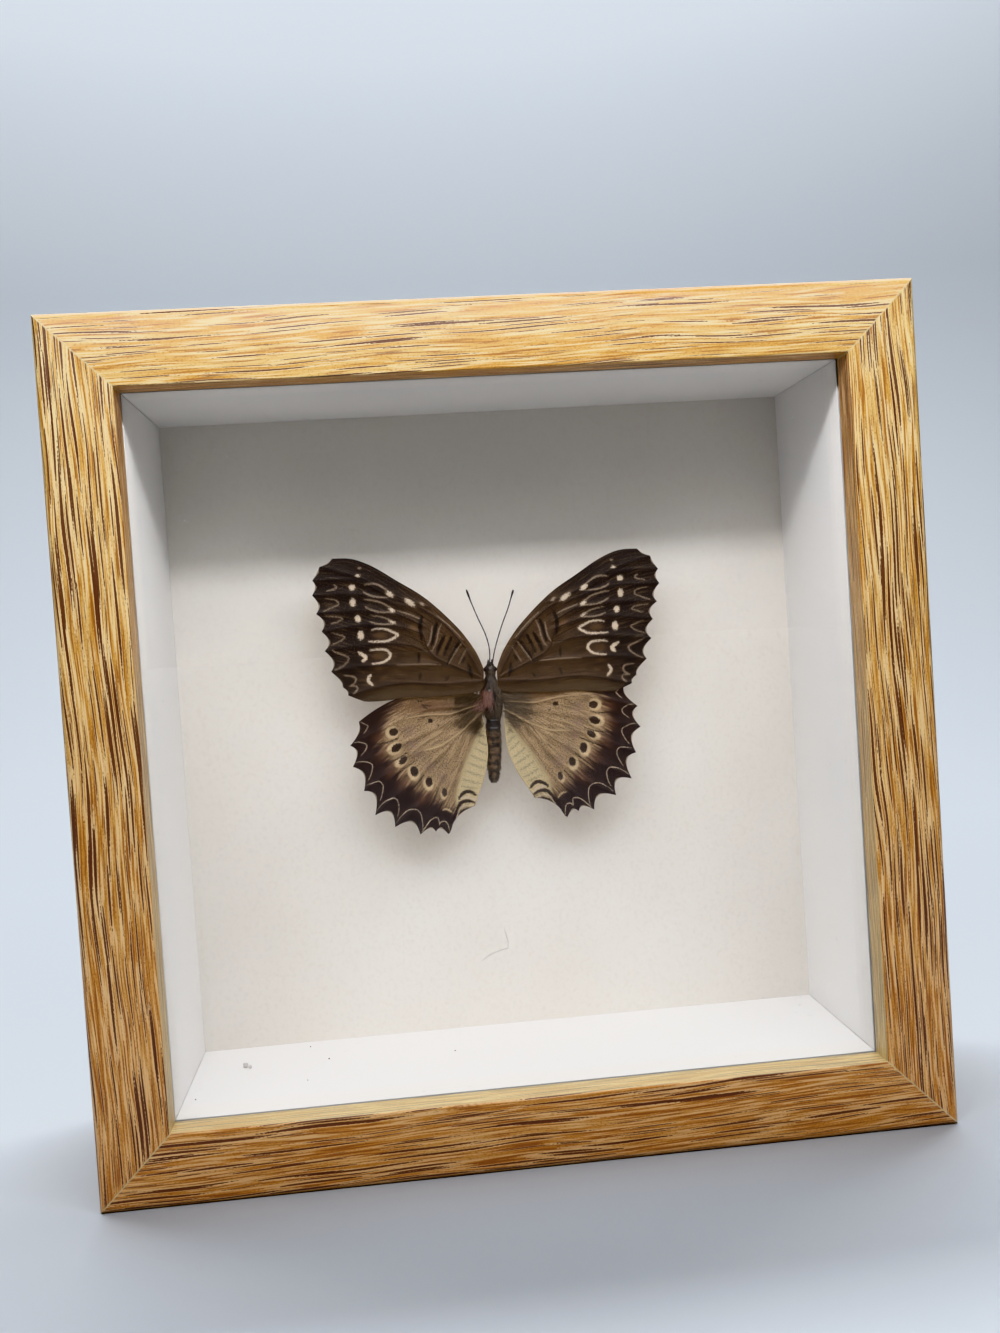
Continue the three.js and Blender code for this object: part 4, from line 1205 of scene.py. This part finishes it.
class SPECIMEN_OT_glazing(bpy.types.Operator):
    """Finishes of the glass, the card, the back board and the metal fittings"""

    bl_idname = "specimen.glazing"
    bl_label = "Glass, card and fittings"

    def execute(self, context):
        look = context.scene.specimen_frame
        assign("glass_pane", float_glass())
        assign("card", cream_card(look))
        assign("back_board", hardboard(look))
        steel = zinc_plate(look)
        for node in frame["nodes"]:
            if node.startswith(("bend_tab", "sawtooth", "hanger", "pin")):
                assign(node, steel)
        return {"FINISHED"}


class SPECIMEN_OT_wings(bpy.types.Operator):
    """Four wings with scalloped margins, raised veins and their markings"""

    bl_idname = "specimen.wings"
    bl_label = "Wings"

    def execute(self, context):
        look = context.scene.specimen_butterfly
        drop = look.hind_drop / MM
        for kind, outline, fields_of, finish, slot, back in (
                ("forewing", FOREWING, forewing_fields, dark_scales(look), "dark_wing", 0),
                ("hindwing", HINDWING, hindwing_fields, tawny_scales(look), "tawny_wing", drop)):
            sheet, to_margin, between = wing_sheet(outline, *WING_GRID[kind])
            places = sheet.reshape(-1, 2)
            fields, relief = fields_of(places, to_margin.ravel(), between.ravel())
            faces = grid_faces(*to_margin.shape)
            steps = [np.linspace(0, size, count) for size, count in zip(RAY_MAP, to_margin.shape)]
            rays = np.stack(np.meshgrid(*steps, indexing="ij"), -1).reshape(-1, 2)
            for side, name in ((-1, "left"), (1, "right")):
                sweep = getattr(look, kind[:4] + "_" + name)
                points = in_frame(on_wing(places, relief, sweep, side, back, look), look)
                towards_glass = faces if side < 0 else faces[:, ::-1]
                maps = {"pattern": places + (0, MAP_SHIFT * side), "rays": rays + (0, MAP_SHIFT * side)}
                wing = new_piece(kind + "_scaled_" + name, points, towards_glass.tolist(), finish, maps,
                                 fields, closed=False)
                skin = wing.modifiers.new("thickness", "SOLIDIFY")
                skin.thickness = look.thickness
                skin.offset = -1
                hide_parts(kind + "_" + name)
        return {"FINISHED"}


class SPECIMEN_OT_body(bpy.types.Operator):
    """Body with eyes, palps, clubbed antennae and folded legs"""

    bl_idname = "specimen.body"
    bl_label = "Body"

    def execute(self, context):
        look = context.scene.specimen_butterfly
        parts = [(trunk_rings().reshape(-1, 3), tube_faces(TRUNK_ROWS, TRUNK_SIDES))]
        parts += head_parts(-1) + head_parts(1)
        parts += [antenna(points) for points in ANTENNAE]
        parts += [leg(points, side) for side in (-1, 1) for points in LEGS]
        points, faces = joined(parts)
        body = new_piece("body_with_limbs", in_frame(points, look), faces, insect_cuticle(),
                         fields=body_fields(points))
        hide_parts("body")
        return {"FINISHED"}


class SPECIMEN_OT_down(bpy.types.Operator):
    """Hairs of the body and of the wing bases"""

    bl_idname = "specimen.down"
    bl_label = "Down"

    def execute(self, context):
        look = context.scene.specimen_butterfly
        draw = np.random.default_rng(11)
        tufts = [body_hairs(draw)]
        for side, sweep in ((-1, look.hind_left), (1, look.hind_right)):
            tufts.append(wing_hairs(draw, side, sweep, look))
        hairs, rosy, tint = zip(*tufts)
        points, faces = joined(hairs)
        fields = {"rosy": np.repeat(np.concatenate(rosy), HAIR_POINTS),
                  "tint": np.repeat(np.concatenate(tint), HAIR_POINTS)}
        down = new_piece("body_down", in_frame(points, look), faces, insect_down(), fields=fields,
                         closed=False)
        return {"FINISHED"}


class SPECIMEN_OT_dust(bpy.types.Operator):
    """Lint and fibres on the glass, and crumbs in the box"""

    bl_idname = "specimen.dust"
    bl_label = "Dust"

    def execute(self, context):
        specks, shape = flecks(LINT + CRUMBS)
        # A large crumb is pale brown and a small one dark.
        brown = [0] * len(LINT) + [0.32 if size > 0.5 else 1 for *_, size in CRUMBS]
        threads = [tube(smooth_path(path, 5) * MM + (0, FRONT, MIDDLE), 0.08 * MM, 5) for path in FIBRES]
        points, faces = joined([(specks, shape), *threads])
        brown = np.repeat(brown, len(specks) // len(brown))
        brown = np.concatenate([brown, np.zeros(len(points) - len(specks))])
        dust = new_piece("dust_specks", points, faces, lint_and_crumbs(), fields={"brown": brown})
        return {"FINISHED"}


class SPECIMEN_OT_stage(bpy.types.Operator):
    """Pale floor and backdrop, soft lights and the camera"""

    bl_idname = "specimen.stage"
    bl_label = "Stage"

    def execute(self, context):
        scene = context.scene
        add_floor(scene, scene.specimen_stage)
        add_lights(scene, scene.specimen_stage)
        add_camera(scene)
        scene.view_settings.view_transform = "Khronos PBR Neutral"
        scene.view_settings.gamma = 0.9
        scene.view_settings.exposure = 0.3
        return {"FINISHED"}


OPERATORS = (SPECIMEN_OT_rails, SPECIMEN_OT_lining, SPECIMEN_OT_glazing, SPECIMEN_OT_wings, SPECIMEN_OT_body,
             SPECIMEN_OT_down, SPECIMEN_OT_dust, SPECIMEN_OT_stage)
SETTINGS = {"specimen_frame": FrameSettings, "specimen_butterfly": ButterflySettings,
            "specimen_stage": StageSettings}


class SPECIMEN_PT_panel(bpy.types.Panel):
    """Lists the builders and their settings"""

    bl_label = "Framed butterfly"
    bl_idname = "SPECIMEN_PT_panel"
    bl_space_type = "VIEW_3D"
    bl_region_type = "UI"
    bl_category = "Specimen"

    def draw(self, context):
        for operator in OPERATORS:
            self.layout.operator(operator.bl_idname)
        for name, group in SETTINGS.items():
            box = self.layout.box()
            for setting in group.__annotations__:
                box.prop(getattr(context.scene, name), setting)


def register():
    for group in SETTINGS.values():
        bpy.utils.register_class(group)
    for name, group in SETTINGS.items():
        setattr(bpy.types.Scene, name, PointerProperty(type=group))
    for shown in (*OPERATORS, SPECIMEN_PT_panel):
        bpy.utils.register_class(shown)


def unregister():
    for shown in (SPECIMEN_PT_panel, *reversed(OPERATORS)):
        bpy.utils.unregister_class(shown)
    for name, group in SETTINGS.items():
        delattr(bpy.types.Scene, name)
        bpy.utils.unregister_class(group)


def main():
    register()
    bpy.ops.specimen.rails()
    bpy.ops.specimen.lining()
    bpy.ops.specimen.glazing()
    bpy.ops.specimen.wings()
    bpy.ops.specimen.body()
    bpy.ops.specimen.down()
    bpy.ops.specimen.dust()
    bpy.ops.specimen.stage()


if __name__ == "__main__":
    main()
